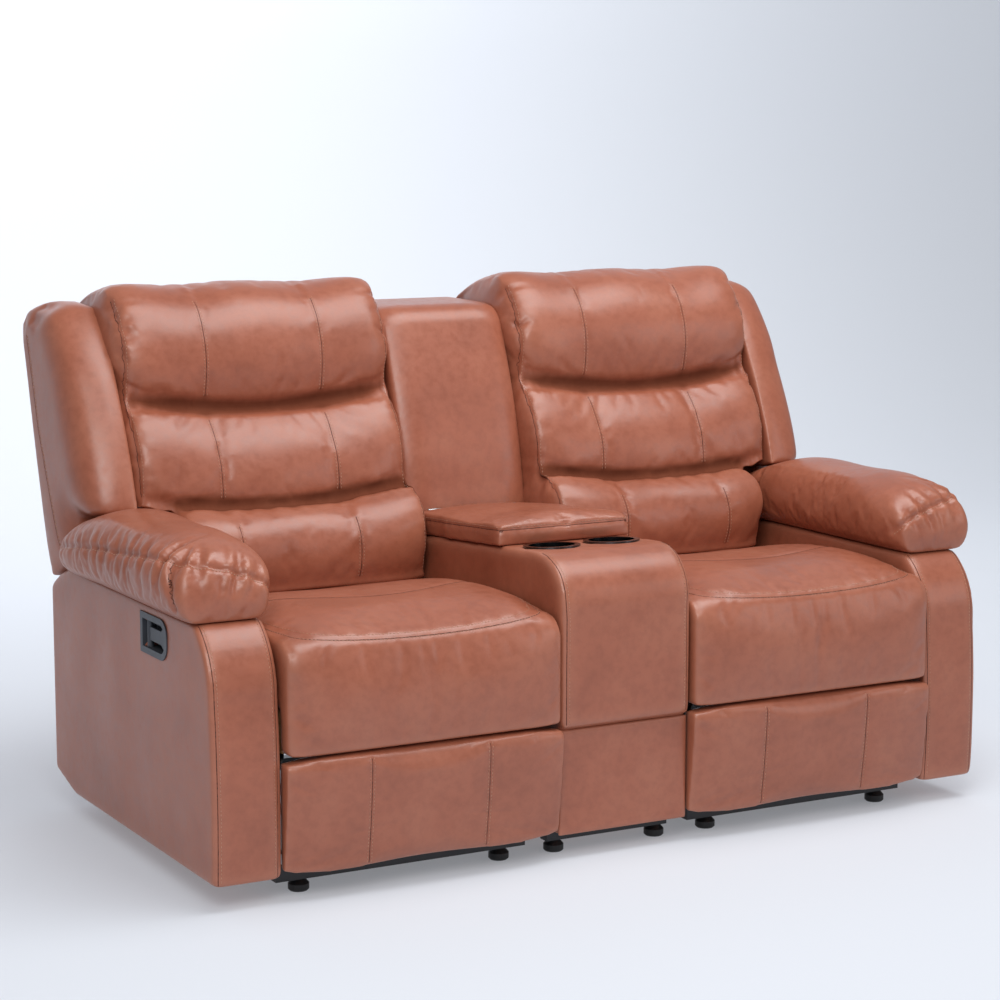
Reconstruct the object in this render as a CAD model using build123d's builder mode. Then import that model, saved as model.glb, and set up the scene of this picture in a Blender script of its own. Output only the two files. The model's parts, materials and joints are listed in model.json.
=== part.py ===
from build123d import *
import os
from math import cos, radians, sin, sqrt, tan

# Two-seat reclining sofa with a fixed centre console.
# Millimetres. +X is the right of someone facing the sofa, the front faces -Y, +Z is up.
# The origin is on the floor, under the middle of the sofa.
# The right half is drawn, and its pieces are mirrored to the left.

# Clearances
FIT = 0.3               # between upholstered pieces that lie on each other
PIN_PLAY = 0.1          # radial play of a pivot on its pin
OPEN_PIVOT_PLAY = 2.6   # radial play where the footrest linkage is tied to fixed speed ratios
SIDE_GAP = 4.5          # between a moving seat or back and the arm or console beside it

# Overall places
ARM_SPAN = 820          # centre line to the outer face of an arm
ARM_WIDTH = 130
CONSOLE_HALF = 139
BASE_TOP = 46           # underside of the arms and console
RAIL_BOTTOM = 22
REAR_Y = 353            # a point on the outside of the back
REAR_Z = 436
BACK_RAKE = 15.5        # lean of the back, degrees
RECLINE_Y = 200         # back hinge
RECLINE_Z = 230

# Arms
ARM_FRONT = -464
ARM_BOW = 4
ARM_BOW_Z = 210
ARM_SHOULDER_Z = 367
ARM_NOSE = 72           # depth of the rounded front top edge
ARM_TOP = 495
ARM_REAR = 356
ARM_ARC = 268           # rear top edge, round the back hinge
ARM_KICK_RISE = 30
ARM_KICK_RUN = 110
ARM_PADDING = 12
ARM_EDGE = 8
ARM_PANEL = 15
ARM_POST = 46
PAD_OVERHANG_OUT = 46
PAD_OVERHANG_IN = 32
PAD_FRONT = -402
PAD_REAR = 212
PAD_HEIGHT = 135

# Release handle in the outer face of the arm
HANDLE_Y = -207
HANDLE_Z = 442
BEZEL_LENGTH = 128
BEZEL_HEIGHT = 74
BEZEL_CORNER = 22       # at the rear
BEZEL_NOSE = 30         # corner radius at the front
BEZEL_RIM = 9
BEZEL_FLANGE = 2.5
BEZEL_DEPTH = 27
BEZEL_WALL = 2.5
LEVER_THICKNESS = 7
LEVER_STEM = 24
LEVER_BAR = 18
LEVER_BAR_HEIGHT = 36
LEVER_PIN_RADIUS = 2.5
LEVER_BOSS_RADIUS = 6
CABLE_RADIUS = 2.5
CABLE_EXIT_Z = 63
CABLE_TOP_DROP = 16     # cable below the middle of the handle

# Base under each seat
TRACK_ARM_GAP = 11.5    # between an arm and the track beside it
TRACK_CONSOLE_GAP = 38.5
TRACK_WIDTH = 18
TRACK_WALL = 3
TRACK_HEIGHT = 30
BAR_SECTION = 25
BAR_FRONT = -405
BAR_REAR = 343
LUG_LENGTH = 40
LUG_HEIGHT = 24
LUG_FRONT_Y = -330
LUG_REAR_Y = 280
UPRIGHT = 5.5
UPRIGHT_FOOT = 110
GLIDE_RADIUS = 19
GLIDE_X = 201.5
CONSOLE_GLIDE_X = 110

# Seat
SEAT_FRONT = -494
SEAT_REAR = 165
SEAT_LIP_BOTTOM = 262
SEAT_LIP = 55
SEAT_BROW = 66          # drop from the front of the top to the upright front
SEAT_ROLL_IN = 14       # where the front roll is fullest, in from the front and down
SEAT_ROLL_DOWN = 20
SEAT_SHOULDER = 3       # drop of the top where an end starts to round off
SEAT_FULL_IN = 43       # how far in from an end that is
SEAT_FRAME_TOP = 338
SEAT_BOARD = 20
SEAT_TOP_FRONT = 478
SEAT_CROWN = 486
SEAT_TUCK_Y = -14       # where the top goes in under the back
SEAT_TUCK_Z = 446
SEAT_TOP_REAR = 430
SEAT_END_DROP = 14
SPRING_WIRE = 3.5
SPRING_WAVE = 22
SPRING_PITCH = 64
SPRING_COUNT = 4

# Seat plates and footrest linkage, closed; a pivot is (distance in front of the origin, height)
PLATE = 4
LINK = 4
LINK_GAP = 2
LINK_RADIUS = 11
HUB_RADIUS = 13
PIN_RADIUS = 5
HUB_PIN_RADIUS = 6
FRONT_PIVOT = (352.0, 238.0)
REAR_PIVOT = (321.7, 257.4)
FRONT_TO_LOWER = (225.4, 138.3)
REAR_TO_LOWER = (194.7, 167.2)
LOWER_TO_BRACKET = (404.0, 190.0)
FRONT_TO_UPPER = (233.2, 113.5)
UPPER_TO_BRACKET = (430.0, 157.0)
TUBE_RADIUS = 12
TUBE_WALL = 3
GLIDE_FRONT_Y = -80
GLIDE_REAR_Y = 88

# Footrest
FOOTREST_TOP = 256
FOOTREST_BOTTOM = 52
FOOTREST_BACK = -440
FOOTREST_BOARD = 16
FOOTREST_TAPER = 24
FOOTREST_CORNER = 12
FOOTREST_DRAW = 6       # how far the pad draws in at its ends
FOOTREST_FULL_IN = 38   # how far in from an end it is full
FOOTREST_BOARD_INSET = 20
BRACKET_FLANGE = 26

# Backs
BACK_COVER = 6
BACK_FRAME = 28
BACK_RAIL = 60
BACK_POST = 25
COVER_BOTTOM = 200
FRAME_BOTTOM = 400
HEAD_RISE = 43          # top of the head above the wings
BACK_CREASE_Y = 112
BACK_CREASE_Z = 612
BACK_CREASE_2_Y = 200
BACK_CREASE_2_Z = 800
HEAD_Y = 187
HEAD_Z = 868
NAPE_SWELL = 12         # fullness of the head behind its crest
HEAD_DEPTH = 118        # front of the head to its crest
HEAD_CHIN_IN = 18       # where the head starts to round over, in from its front and up
HEAD_CHIN_UP = 67
HEAD_BROW_IN = 62       # the middle of that round, in from the front and down from the top
HEAD_BROW_DOWN = 30
CHANNEL_SWELL = 16      # lean of the middle channel's fullest part behind its crease
CHANNEL_RISE = 98       # a crease to the fullest part of the channel above it
LUMBAR_Y = 14
LUMBAR_BOTTOM = 456
LUMBAR_TUCK = 26        # how far its lower edge tucks under
LUMBAR_RISE = 50        # the lower edge to the fullest part
LUMBAR_LAP = 8          # how far it runs in under the channel above
WING_WIDTH = 98         # a wing, from its back cushion to the outer side
CUSHION_OUT = ARM_SPAN - WING_WIDTH
CUSHION_DRAW = 16       # how far the sides of a cushion draw in
STITCH_DRAW = 5
HEAD_WRAP = 64          # how far the head of a cushion wraps down behind
STITCH_X = 117          # stitch columns each side of the middle of a cushion
WING_TOP = 994
WING_CHIN_Y = 108
WING_HEEL = 48          # drop of the rounded rear top corner
WING_ROLL = 40          # how far the outer edge of the front rolls back
WING_EDGE = 14
WING_BELLY_IN = 42      # the front of the wing above its chin
WING_BELLY_UP = 110
WING_BROW_IN = 92
WING_BROW_UP = 212
WING_CROWN_RUN = 84     # level top in front of the rear corner
WING_HEEL_IN = 30       # the middle of that corner, in from the rear and down
WING_HEEL_DOWN = 20
WING_FOOT_TURN = 34.9   # the foot's arc, just short of the full lean, degrees
PIVOT_ARM = 6
PIVOT_PIN_RADIUS = 6
PIVOT_HUB_RADIUS = 18

# Console
CONSOLE_FRONT = -475
CONSOLE_TOP_Y = -383    # front end of the sloping top
CONSOLE_TOP_Z = 564
CONSOLE_SLOPE = 4.2     # top falls towards the back, degrees
CONSOLE_NOSE_Z = 462
CONSOLE_NOSE_IN = 23    # the middle of the nose, in from the front and down from the top
CONSOLE_NOSE_DOWN = 31
CONSOLE_WALL = 8
CONSOLE_BOARD = 14
KICK_TOP = 246
KICK_GAP = 4
KICK_SETBACK = 12
KICK_THICKNESS = 8
LID_FRONT = -244
LID_REAR = 126
LID_BOARD = 12
LID_PAD = 34
LID_CROWN = 6
LID_EDGE_DROP = 9       # the pad's rounded side edges
LID_EDGE_RUN = 14
LID_END_RUN = 16        # the pad's rounded ends
LID_FULL_RUN = 60       # how far in from an end it is full
LID_CLEAR = 0.5
BIN_FRONT = -222
BIN_REAR = 96
BIN_HALF = 100
BIN_DEPTH = 170
BIN_WALL = 2.5
BIN_RIM = 8
CUP_X = 65
CUP_Y = -305
CUP_RIM_RADIUS = 54
CUP_RADIUS = 44
CUP_WALL = 2
CUP_DEPTH = 62
CUP_FLANGE = 3
HINGE_RADIUS = 3
HINGE_PIN_RADIUS = 2
HINGE_LEAF = 2
HINGE_HALF = 100
HINGE_MIDDLE = 40
CONSOLE_BACK_TOP = 970
CONSOLE_BACK_Y = 264
CONSOLE_BACK_WRAP = 40      # how far its top wraps down behind
CONSOLE_BACK_BROW = 46      # drop from the top to where the front rounds over
CONSOLE_BACK_FULL = 14      # fullness of the front there
CONSOLE_BACK_CREST = 48     # its crest behind the front
CONSOLE_BACK_DRAW = 12      # how far its sides draw in
CONSOLE_BACK_FULL_IN = 20   # how far in from a side it is full
CONSOLE_BACK_LEAN = 17.8

# Worked-out places
ARM_INNER = ARM_SPAN - ARM_WIDTH
BACK_TOP = WING_TOP + HEAD_RISE
MECH_X = (ARM_INNER - TRACK_ARM_GAP + CONSOLE_HALF + TRACK_CONSOLE_GAP) / 2
TRACK_HALF = ARM_INNER - TRACK_ARM_GAP - MECH_X
SEAT_INNER = CONSOLE_HALF + SIDE_GAP
SEAT_OUTER = ARM_INNER - SIDE_GAP
SEAT_MIDDLE = (SEAT_INNER + SEAT_OUTER) / 2
CUSHION_MIDDLE = (SEAT_INNER + CUSHION_OUT) / 2
LUMBAR_OUT = ARM_INNER - PAD_OVERHANG_IN - SIDE_GAP * 2
PLATE_LAYER = TRACK_HALF - TRACK_WIDTH - LINK_GAP - PLATE
UPPER_LAYER = PLATE_LAYER - LINK_GAP - LINK
FRONT_LAYER = UPPER_LAYER - LINK_GAP - LINK
LOWER_LAYER = FRONT_LAYER - LINK_GAP - LINK
REAR_LAYER = LOWER_LAYER - LINK_GAP - LINK
SEAT_FRAME_HALF = PLATE_LAYER + PLATE + SEAT_BOARD
FRAME_FRONT = SEAT_FRONT + SEAT_LIP + FIT
PIVOT_LAYER = TRACK_HALF - PIVOT_ARM - FIT
GLIDE_Z = BASE_TOP + TRACK_HEIGHT / 2
SLOPE = tan(radians(CONSOLE_SLOPE))
RAKE = tan(radians(BACK_RAKE))
CUSHION_SETBACK = (BACK_COVER + BACK_FRAME + 2 * FIT) / cos(radians(BACK_RAKE))
ARM_ARC_Y = RECLINE_Y + sqrt(ARM_ARC**2 - (ARM_TOP - RECLINE_Z)**2)
ARM_ARC_Z = RECLINE_Z + sqrt(ARM_ARC**2 - (ARM_REAR - RECLINE_Y)**2)

BACK_PLANE = Plane(
    origin=(0, REAR_Y, REAR_Z),
    x_dir=(1, 0, 0),
    z_dir=(0, -cos(radians(BACK_RAKE)), sin(radians(BACK_RAKE))),
)


def rear_y(z):
    """Where the outside of the back is at a height."""
    return REAR_Y + RAKE * (z - REAR_Z)


def up_back(z):
    """Distance along the leaning back plane to a height."""
    return (z - REAR_Z) / cos(radians(BACK_RAKE))


def console_top_z(y):
    """Height of the sloping console top."""
    return CONSOLE_TOP_Z - SLOPE * (y - CONSOLE_TOP_Y)


def console_back_front(z):
    """Front face of the console back at a height."""
    return CONSOLE_BACK_Y - tan(radians(CONSOLE_BACK_LEAN)) * (CONSOLE_BACK_TOP - z)


LID_PLANE = Plane(
    origin=(0, LID_REAR, console_top_z(LID_REAR)),
    x_dir=(1, 0, 0),
    z_dir=(0, sin(radians(CONSOLE_SLOPE)), cos(radians(CONSOLE_SLOPE))),
)
LID_LENGTH = (LID_REAR - LID_FRONT) / cos(radians(CONSOLE_SLOPE))


def save(piece, name):
    """Label a finished piece and write it."""
    piece.label = name
    export_step(piece, f"parts/{name}.step")


def save_pair(piece, name):
    """Write a piece of the right half and its mirror image."""
    save(piece, f"right_{name}")
    save(mirror(piece, about=Plane.YZ), f"left_{name}")


def side(pivot):
    """A linkage pivot as (y, z) on a side plane."""
    return (-pivot[0], pivot[1])


def layer_planes(layer, thickness):
    """Side planes of the two plates that lie a distance each side of the mechanism's middle."""
    return [Plane.YZ.offset(MECH_X + layer), Plane.YZ.offset(MECH_X - layer - thickness)]


def link_plates(layer, hubs, holes):
    """Two link plates: a hull round the hubs, with pivot holes, each (pivot, radius)."""
    for plane in layer_planes(layer, LINK):
        with BuildSketch(plane) as outline:
            for pivot, radius in hubs:
                with Locations(side(pivot)):
                    Circle(radius)
            make_hull()
            for pivot, radius in holes:
                with Locations(side(pivot)):
                    Circle(radius, mode=Mode.SUBTRACT)
        extrude(outline.sketch, amount=LINK)


def studs(pivot, radius, start, end):
    """A stud on each side of the mechanism between two distances from its middle."""
    for plane in layer_planes(start, end - start):
        with BuildSketch(plane) as shank:
            with Locations(side(pivot)):
                Circle(radius)
        extrude(shank.sketch, amount=end - start)


def arm_outline():
    """Side view of an arm as a closed wire."""
    front_top = (ARM_FRONT + ARM_NOSE, ARM_TOP)
    shoulder = (ARM_FRONT + ARM_BOW, ARM_SHOULDER_Z)
    nose_mid = (ARM_FRONT + 0.33 * ARM_NOSE, ARM_SHOULDER_Z + 0.62 * (ARM_TOP - ARM_SHOULDER_Z))
    arc_turn = radians(24)
    arc_mid = (RECLINE_Y + ARM_ARC * sin(arc_turn), RECLINE_Z + ARM_ARC * cos(arc_turn))
    ThreePointArc((ARM_FRONT, BASE_TOP), (ARM_FRONT - ARM_BOW, ARM_BOW_Z), shoulder)
    ThreePointArc(shoulder, nose_mid, front_top)
    Line(front_top, (ARM_ARC_Y, ARM_TOP))
    ThreePointArc((ARM_ARC_Y, ARM_TOP), arc_mid, (ARM_REAR, ARM_ARC_Z))
    Polyline(
        (ARM_REAR, ARM_ARC_Z),
        (ARM_REAR, BASE_TOP + ARM_KICK_RISE),
        (ARM_REAR - ARM_KICK_RUN, BASE_TOP),
        (ARM_FRONT, BASE_TOP),
    )


def arm_slab(start, end, inset, mode=Mode.ADD):
    """A slab of the arm's side view, drawn in by an inset, between two distances from the middle."""
    with BuildSketch(Plane.YZ.offset(start)) as profile:
        with BuildLine():
            arm_outline()
        make_face()
        if inset:
            offset(amount=-inset, kind=Kind.INTERSECTION, mode=Mode.REPLACE)
    extrude(profile.sketch, amount=end - start, mode=mode)


def bezel_shape(plane, grow):
    """The handle's side view on a side plane, with rounder corners in front, grown all round."""
    with BuildSketch(plane) as shape:
        with Locations((HANDLE_Y, HANDLE_Z)):
            Rectangle(BEZEL_LENGTH + 2 * grow, BEZEL_HEIGHT + 2 * grow)
        corners = shape.vertices().group_by(Axis.X)
        fillet(corners[0], BEZEL_NOSE + grow)
        fillet(corners[-1], BEZEL_CORNER + grow)
    return shape.sketch


def bezel_cut(plane, depth, grow):
    """The recess of the release handle, cut inwards from a side plane."""
    extrude(bezel_shape(plane, grow - BEZEL_RIM), amount=-depth, mode=Mode.SUBTRACT)


def cable_hole():
    """The hole low in an arm that lets the release cable through to the mechanism."""
    with BuildSketch(Plane.YZ.offset(ARM_INNER)) as exit_hole:
        with Locations((CABLE_Y, CABLE_EXIT_Z)):
            Circle(CABLE_RADIUS + FIT)
    extrude(exit_hole.sketch, amount=ARM_WIDTH / 2, mode=Mode.SUBTRACT)


LEVER_PIVOT_Y = HANDLE_Y + BEZEL_LENGTH / 2 - BEZEL_CORNER - LEVER_BOSS_RADIUS
LEVER_X = ARM_SPAN - LEVER_BOSS_RADIUS - 1
CABLE_Y = LEVER_PIVOT_Y
CABLE_DROP = ARM_SPAN - ARM_WIDTH / 2

os.makedirs("parts", exist_ok=True)

# Arm: padded cover over a plywood box, with a recess for the handle
with BuildPart() as arm_cover:
    arm_slab(ARM_INNER, ARM_SPAN, 0)
    outer_rim = arm_cover.faces().sort_by(Axis.X)[-1].edges()
    inner_rim = arm_cover.faces().sort_by(Axis.X)[0].edges()
    fillet(outer_rim.filter_by(lambda e: e.center().Z > BASE_TOP + 1), ARM_EDGE)
    fillet(inner_rim.filter_by(lambda e: e.center().Z > BASE_TOP + 1), ARM_EDGE)
    arm_slab(ARM_INNER + ARM_PADDING, ARM_SPAN - ARM_PADDING, ARM_PADDING, mode=Mode.SUBTRACT)
    with BuildSketch(Plane.XY.offset(BASE_TOP)):
        with Locations((ARM_SPAN - ARM_WIDTH / 2, (ARM_FRONT + ARM_REAR - ARM_KICK_RUN) / 2)):
            Rectangle(ARM_WIDTH - 2 * ARM_PADDING, ARM_REAR - ARM_KICK_RUN - ARM_FRONT - 2 * ARM_PADDING)
    extrude(amount=2 * ARM_PADDING, mode=Mode.SUBTRACT)
    bezel_cut(Plane.YZ.offset(ARM_SPAN), ARM_PADDING + FIT, FIT)
    cable_hole()
save_pair(arm_cover.part, "arm_cover")

with BuildPart() as arm_frame:
    panel_inset = ARM_PADDING + FIT
    inner_face = ARM_INNER + panel_inset
    outer_face = ARM_SPAN - panel_inset
    arm_slab(inner_face, outer_face, panel_inset)
    arm_slab(inner_face + ARM_PANEL, outer_face - ARM_PANEL, panel_inset + ARM_POST, mode=Mode.SUBTRACT)
    window_front = ARM_FRONT + panel_inset + 2 * ARM_POST
    window_rear = ARM_REAR - panel_inset - 2 * ARM_POST
    window_length = (window_rear - window_front - ARM_POST) / 2
    with BuildSketch(Plane.YZ.offset(inner_face)):
        for start in (window_front, window_front + window_length + ARM_POST):
            with Locations((start + window_length / 2, (BASE_TOP + ARM_TOP) / 2 - ARM_POST)):
                RectangleRounded(window_length, ARM_TOP - BASE_TOP - 5 * ARM_POST, ARM_POST / 2)
    extrude(amount=ARM_WIDTH, mode=Mode.SUBTRACT)
    bezel_cut(Plane.YZ.offset(ARM_SPAN), BEZEL_DEPTH + 2 * ARM_PANEL, BEZEL_RIM)
    slot_half = CABLE_RADIUS + FIT
    slot_low = CABLE_EXIT_Z - slot_half
    slot_high = BASE_TOP + panel_inset + ARM_POST + slot_half
    slot_width = CABLE_DROP + slot_half - ARM_INNER
    with BuildSketch(Plane.XZ.offset(slot_half - CABLE_Y)):
        with Locations((ARM_INNER + slot_width / 2, (slot_low + slot_high) / 2)):
            Rectangle(slot_width, slot_high - slot_low)
    extrude(amount=-2 * slot_half, mode=Mode.SUBTRACT)
save_pair(arm_frame.part, "arm_frame")


def pad_section(y, half, height, base):
    """One cross-section of the arm pad: flat below, bulged sides, crowned top."""
    middle = ARM_SPAN - ARM_WIDTH / 2 + (PAD_OVERHANG_OUT - PAD_OVERHANG_IN) / 2
    foot = half - 0.3 * height
    brow = half - 0.2 * height
    with BuildSketch(Plane.XZ.offset(-y)) as section:
        with BuildLine():
            Line((middle - foot, base), (middle + foot, base))
            ThreePointArc(
                (middle + foot, base),
                (middle + half, base + 0.45 * height),
                (middle + brow, base + 0.86 * height),
            )
            ThreePointArc(
                (middle + brow, base + 0.86 * height),
                (middle, base + height),
                (middle - brow, base + 0.86 * height),
            )
            ThreePointArc(
                (middle - brow, base + 0.86 * height),
                (middle - half, base + 0.45 * height),
                (middle - foot, base),
            )
        make_face()
    return section.sketch


with BuildPart() as arm_pad:
    pad_half = (ARM_WIDTH + PAD_OVERHANG_OUT + PAD_OVERHANG_IN) / 2
    pad_base = ARM_TOP + FIT
    pad_length = PAD_REAR - PAD_FRONT
    stations = (
        (0, 0.74, 0.5), (0.05, 0.92, 0.84), (0.14, 0.99, 0.97), (0.32, 1, 1), (0.58, 1, 1),
        (0.74, 0.995, 0.95), (0.85, 0.98, 0.82), (0.95, 0.93, 0.68), (1, 0.82, 0.5),
    )
    loft([
        pad_section(PAD_FRONT + along * pad_length, half * pad_half, height * PAD_HEIGHT, pad_base)
        for along, half, height in stations
    ])
save_pair(arm_pad.part, "arm_pad")

# Release handle: a recessed cup, a pull lever on an upright pin and the cable it pulls
with BuildPart() as handle_bezel:
    extrude(bezel_shape(Plane.YZ.offset(ARM_SPAN), 0), amount=BEZEL_FLANGE)
    extrude(bezel_shape(Plane.YZ.offset(ARM_SPAN), -BEZEL_RIM), amount=-BEZEL_DEPTH)
    bezel_cut(Plane.YZ.offset(ARM_SPAN + BEZEL_FLANGE), BEZEL_DEPTH + BEZEL_FLANGE - BEZEL_WALL, -BEZEL_WALL)
    with BuildSketch(Plane.XY.offset(HANDLE_Z - BEZEL_HEIGHT / 2)):
        with Locations((LEVER_X, LEVER_PIVOT_Y)):
            Circle(LEVER_PIN_RADIUS + PIN_PLAY)
    extrude(amount=BEZEL_HEIGHT, mode=Mode.SUBTRACT)
save_pair(handle_bezel.part, "handle_bezel")

with BuildPart() as handle_lever:
    lever_height = BEZEL_HEIGHT - 2 * (BEZEL_RIM + BEZEL_WALL + FIT)
    pin_height = BEZEL_HEIGHT - 2 * BEZEL_RIM
    bar_y = HANDLE_Y - BEZEL_LENGTH / 2 + BEZEL_RIM + 2 * BEZEL_WALL + LEVER_BAR
    with BuildSketch(Plane.XY.offset(HANDLE_Z - lever_height / 2)):
        with Locations((LEVER_X, LEVER_PIVOT_Y)):
            Circle(LEVER_BOSS_RADIUS)
    extrude(amount=lever_height)
    with BuildSketch(Plane.XY.offset(HANDLE_Z - pin_height / 2)):
        with Locations((LEVER_X, LEVER_PIVOT_Y)):
            Circle(LEVER_PIN_RADIUS)
    extrude(amount=pin_height)
    with BuildSketch(Plane.YZ.offset(LEVER_X - LEVER_THICKNESS / 2)):
        with BuildLine():
            Polyline(
                (LEVER_PIVOT_Y, HANDLE_Z - LEVER_STEM / 2),
                (LEVER_PIVOT_Y, HANDLE_Z + LEVER_STEM / 2),
                (bar_y + LEVER_BAR / 2, HANDLE_Z + LEVER_STEM / 2),
                (bar_y, HANDLE_Z + LEVER_BAR_HEIGHT / 2),
                (bar_y - LEVER_BAR, HANDLE_Z + LEVER_BAR_HEIGHT / 2),
                (bar_y - LEVER_BAR, HANDLE_Z - LEVER_BAR_HEIGHT / 2),
                (bar_y, HANDLE_Z - LEVER_BAR_HEIGHT / 2),
                (bar_y + LEVER_BAR / 2, HANDLE_Z - LEVER_STEM / 2),
                close=True,
            )
        make_face()
    extrude(amount=LEVER_THICKNESS)
    bar_edges = handle_lever.edges().filter_by(Axis.X).group_by(Axis.Y)[0]
    fillet(bar_edges, LEVER_BAR / 3)
save_pair(handle_lever.part, "handle_lever")

with BuildPart() as release_cable:
    cable_top = (ARM_SPAN - BEZEL_DEPTH, CABLE_Y, HANDLE_Z - CABLE_TOP_DROP)
    cable_end = (MECH_X + TRACK_HALF, CABLE_Y, CABLE_EXIT_Z)
    with BuildLine() as cable_route:
        FilletPolyline(
            cable_top,
            (CABLE_DROP, CABLE_Y, HANDLE_Z - CABLE_TOP_DROP),
            (CABLE_DROP, CABLE_Y, CABLE_EXIT_Z),
            cable_end,
            radius=0.45 * (cable_top[0] - CABLE_DROP),
        )
    with BuildSketch(Plane(origin=cable_top, z_dir=(-1, 0, 0))):
        Circle(CABLE_RADIUS)
    sweep()
save_pair(release_cable.part, "release_cable")

# Base: two cross bars, two slide tracks, lugs to the arm and console, and the back hinge uprights
with BuildPart() as base_frame:
    bar_width = 2 * TRACK_HALF
    for bar_y in (BAR_FRONT + BAR_SECTION / 2, BAR_REAR - BAR_SECTION / 2):
        with BuildSketch(Plane.XY.offset(RAIL_BOTTOM)):
            with Locations((MECH_X, bar_y)):
                Rectangle(bar_width, BAR_SECTION)
        extrude(amount=BASE_TOP - RAIL_BOTTOM)
    for plane, web in (
        (Plane.XZ.offset(-BAR_FRONT), MECH_X + TRACK_HALF),
        (Plane.XZ.offset(-BAR_FRONT), MECH_X - TRACK_HALF),
    ):
        inward = 1 if web < MECH_X else -1
        with BuildSketch(plane):
            with Locations((web + inward * TRACK_WIDTH / 2, GLIDE_Z)):
                Rectangle(TRACK_WIDTH, TRACK_HEIGHT)
            with Locations((web + inward * (TRACK_WIDTH + TRACK_WALL) / 2, GLIDE_Z)):
                Rectangle(TRACK_WIDTH - TRACK_WALL, TRACK_HEIGHT - 2 * TRACK_WALL, mode=Mode.SUBTRACT)
        extrude(amount=BAR_FRONT - BAR_REAR)
    for start, end in (
        (CONSOLE_HALF, MECH_X - TRACK_HALF),
        (MECH_X + TRACK_HALF, ARM_INNER),
    ):
        with BuildSketch(Plane.YZ.offset(start)):
            with Locations((LUG_FRONT_Y, GLIDE_Z), (LUG_REAR_Y, GLIDE_Z)):
                Rectangle(LUG_LENGTH, LUG_HEIGHT)
        extrude(amount=end - start)
    for plane in layer_planes(TRACK_HALF, UPRIGHT):
        with BuildSketch(plane):
            with Locations((RECLINE_Y, GLIDE_Z)):
                Rectangle(UPRIGHT_FOOT, TRACK_HEIGHT)
            with Locations((RECLINE_Y, RECLINE_Z)):
                Circle(PIVOT_HUB_RADIUS)
            make_hull()
        extrude(amount=UPRIGHT)
    studs((-RECLINE_Y, RECLINE_Z), PIVOT_PIN_RADIUS, PIVOT_LAYER - 2, TRACK_HALF)
save_pair(base_frame.part, "base_frame")

# Seat: boxed frame, zig-zag springs, cushion with a front roll
with BuildPart() as seat_frame:
    frame_height = SEAT_FRAME_TOP - SEAT_LIP_BOTTOM
    frame_rear = SEAT_REAR - SEAT_BOARD
    frame_middle = (FRAME_FRONT + frame_rear) / 2
    frame_length = frame_rear - FRAME_FRONT
    with BuildSketch(Plane.XY.offset(SEAT_LIP_BOTTOM)):
        with Locations((MECH_X, frame_middle)):
            Rectangle(2 * SEAT_FRAME_HALF, frame_length)
            Rectangle(
                2 * (SEAT_FRAME_HALF - SEAT_BOARD),
                frame_length - 2 * SEAT_BOARD,
                mode=Mode.SUBTRACT,
            )
    extrude(amount=frame_height)
save_pair(seat_frame.part, "seat_frame")

with BuildPart() as seat_springs:
    spring_start = FRAME_FRONT + SEAT_BOARD / 2
    spring_end = frame_rear - SEAT_BOARD / 2
    waves = int((spring_end - spring_start - SPRING_PITCH) / SPRING_PITCH)
    lead = (spring_end - spring_start - waves * SPRING_PITCH) / 2
    spacing = 2 * SEAT_FRAME_HALF / (SPRING_COUNT + 0.5)
    for number in range(SPRING_COUNT):
        spring_x = MECH_X + (number - (SPRING_COUNT - 1) / 2) * spacing
        path = [(spring_x, spring_start)]
        for wave in range(waves):
            bend = spring_start + lead + wave * SPRING_PITCH
            path.append((spring_x + SPRING_WAVE, bend + 0.1 * SPRING_PITCH))
            path.append((spring_x + SPRING_WAVE, bend + 0.4 * SPRING_PITCH))
            path.append((spring_x - SPRING_WAVE, bend + 0.6 * SPRING_PITCH))
            path.append((spring_x - SPRING_WAVE, bend + 0.9 * SPRING_PITCH))
        path.append((spring_x, spring_end))
        with BuildSketch(Plane.XY.offset(SEAT_FRAME_TOP)):
            with BuildLine() as spring_wire:
                Polyline(*path)
                offset(amount=SPRING_WIRE / 2, side=Side.BOTH, kind=Kind.INTERSECTION)
            make_face()
        extrude(amount=SPRING_WIRE)
save_pair(seat_springs.part, "seat_springs")


def seat_section(x, drop, draw):
    """Side view of the seat cushion: lip, front roll and a top that falls towards the back."""
    base = SEAT_FRAME_TOP + SPRING_WIRE + FIT
    lip_back = SEAT_FRONT + SEAT_LIP
    roll = (SEAT_FRONT + SEAT_BROW, SEAT_TOP_FRONT - drop)
    brow = (SEAT_FRONT + draw, SEAT_TOP_FRONT - SEAT_BROW)
    full = (SEAT_FRONT + draw + SEAT_ROLL_IN, SEAT_TOP_FRONT - SEAT_ROLL_DOWN - drop / 2)
    with BuildSketch(Plane.YZ.offset(x)) as section:
        with BuildLine():
            Polyline(
                brow,
                (SEAT_FRONT + draw, SEAT_LIP_BOTTOM),
                (lip_back, SEAT_LIP_BOTTOM),
                (lip_back, base),
                (SEAT_REAR, base),
                (SEAT_REAR, SEAT_TOP_REAR - drop),
                (SEAT_TUCK_Y, SEAT_TUCK_Z - drop),
            )
            ThreePointArc(
                (SEAT_TUCK_Y, SEAT_TUCK_Z - drop),
                ((roll[0] + SEAT_TUCK_Y) / 2, SEAT_CROWN - drop),
                roll,
            )
            ThreePointArc(roll, full, brow)
        make_face()
    return section.sketch


with BuildPart() as seat_cushion:
    loft([
        seat_section(SEAT_INNER, SEAT_END_DROP, SEAT_END_DROP / 2),
        seat_section(SEAT_INNER + SEAT_FULL_IN, SEAT_SHOULDER, SEAT_SHOULDER / 2),
        seat_section(SEAT_MIDDLE, 0, 0),
        seat_section(SEAT_OUTER - SEAT_FULL_IN, SEAT_SHOULDER, SEAT_SHOULDER / 2),
        seat_section(SEAT_OUTER, SEAT_END_DROP, SEAT_END_DROP / 2),
    ])
save_pair(seat_cushion.part, "seat_cushion")

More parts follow.
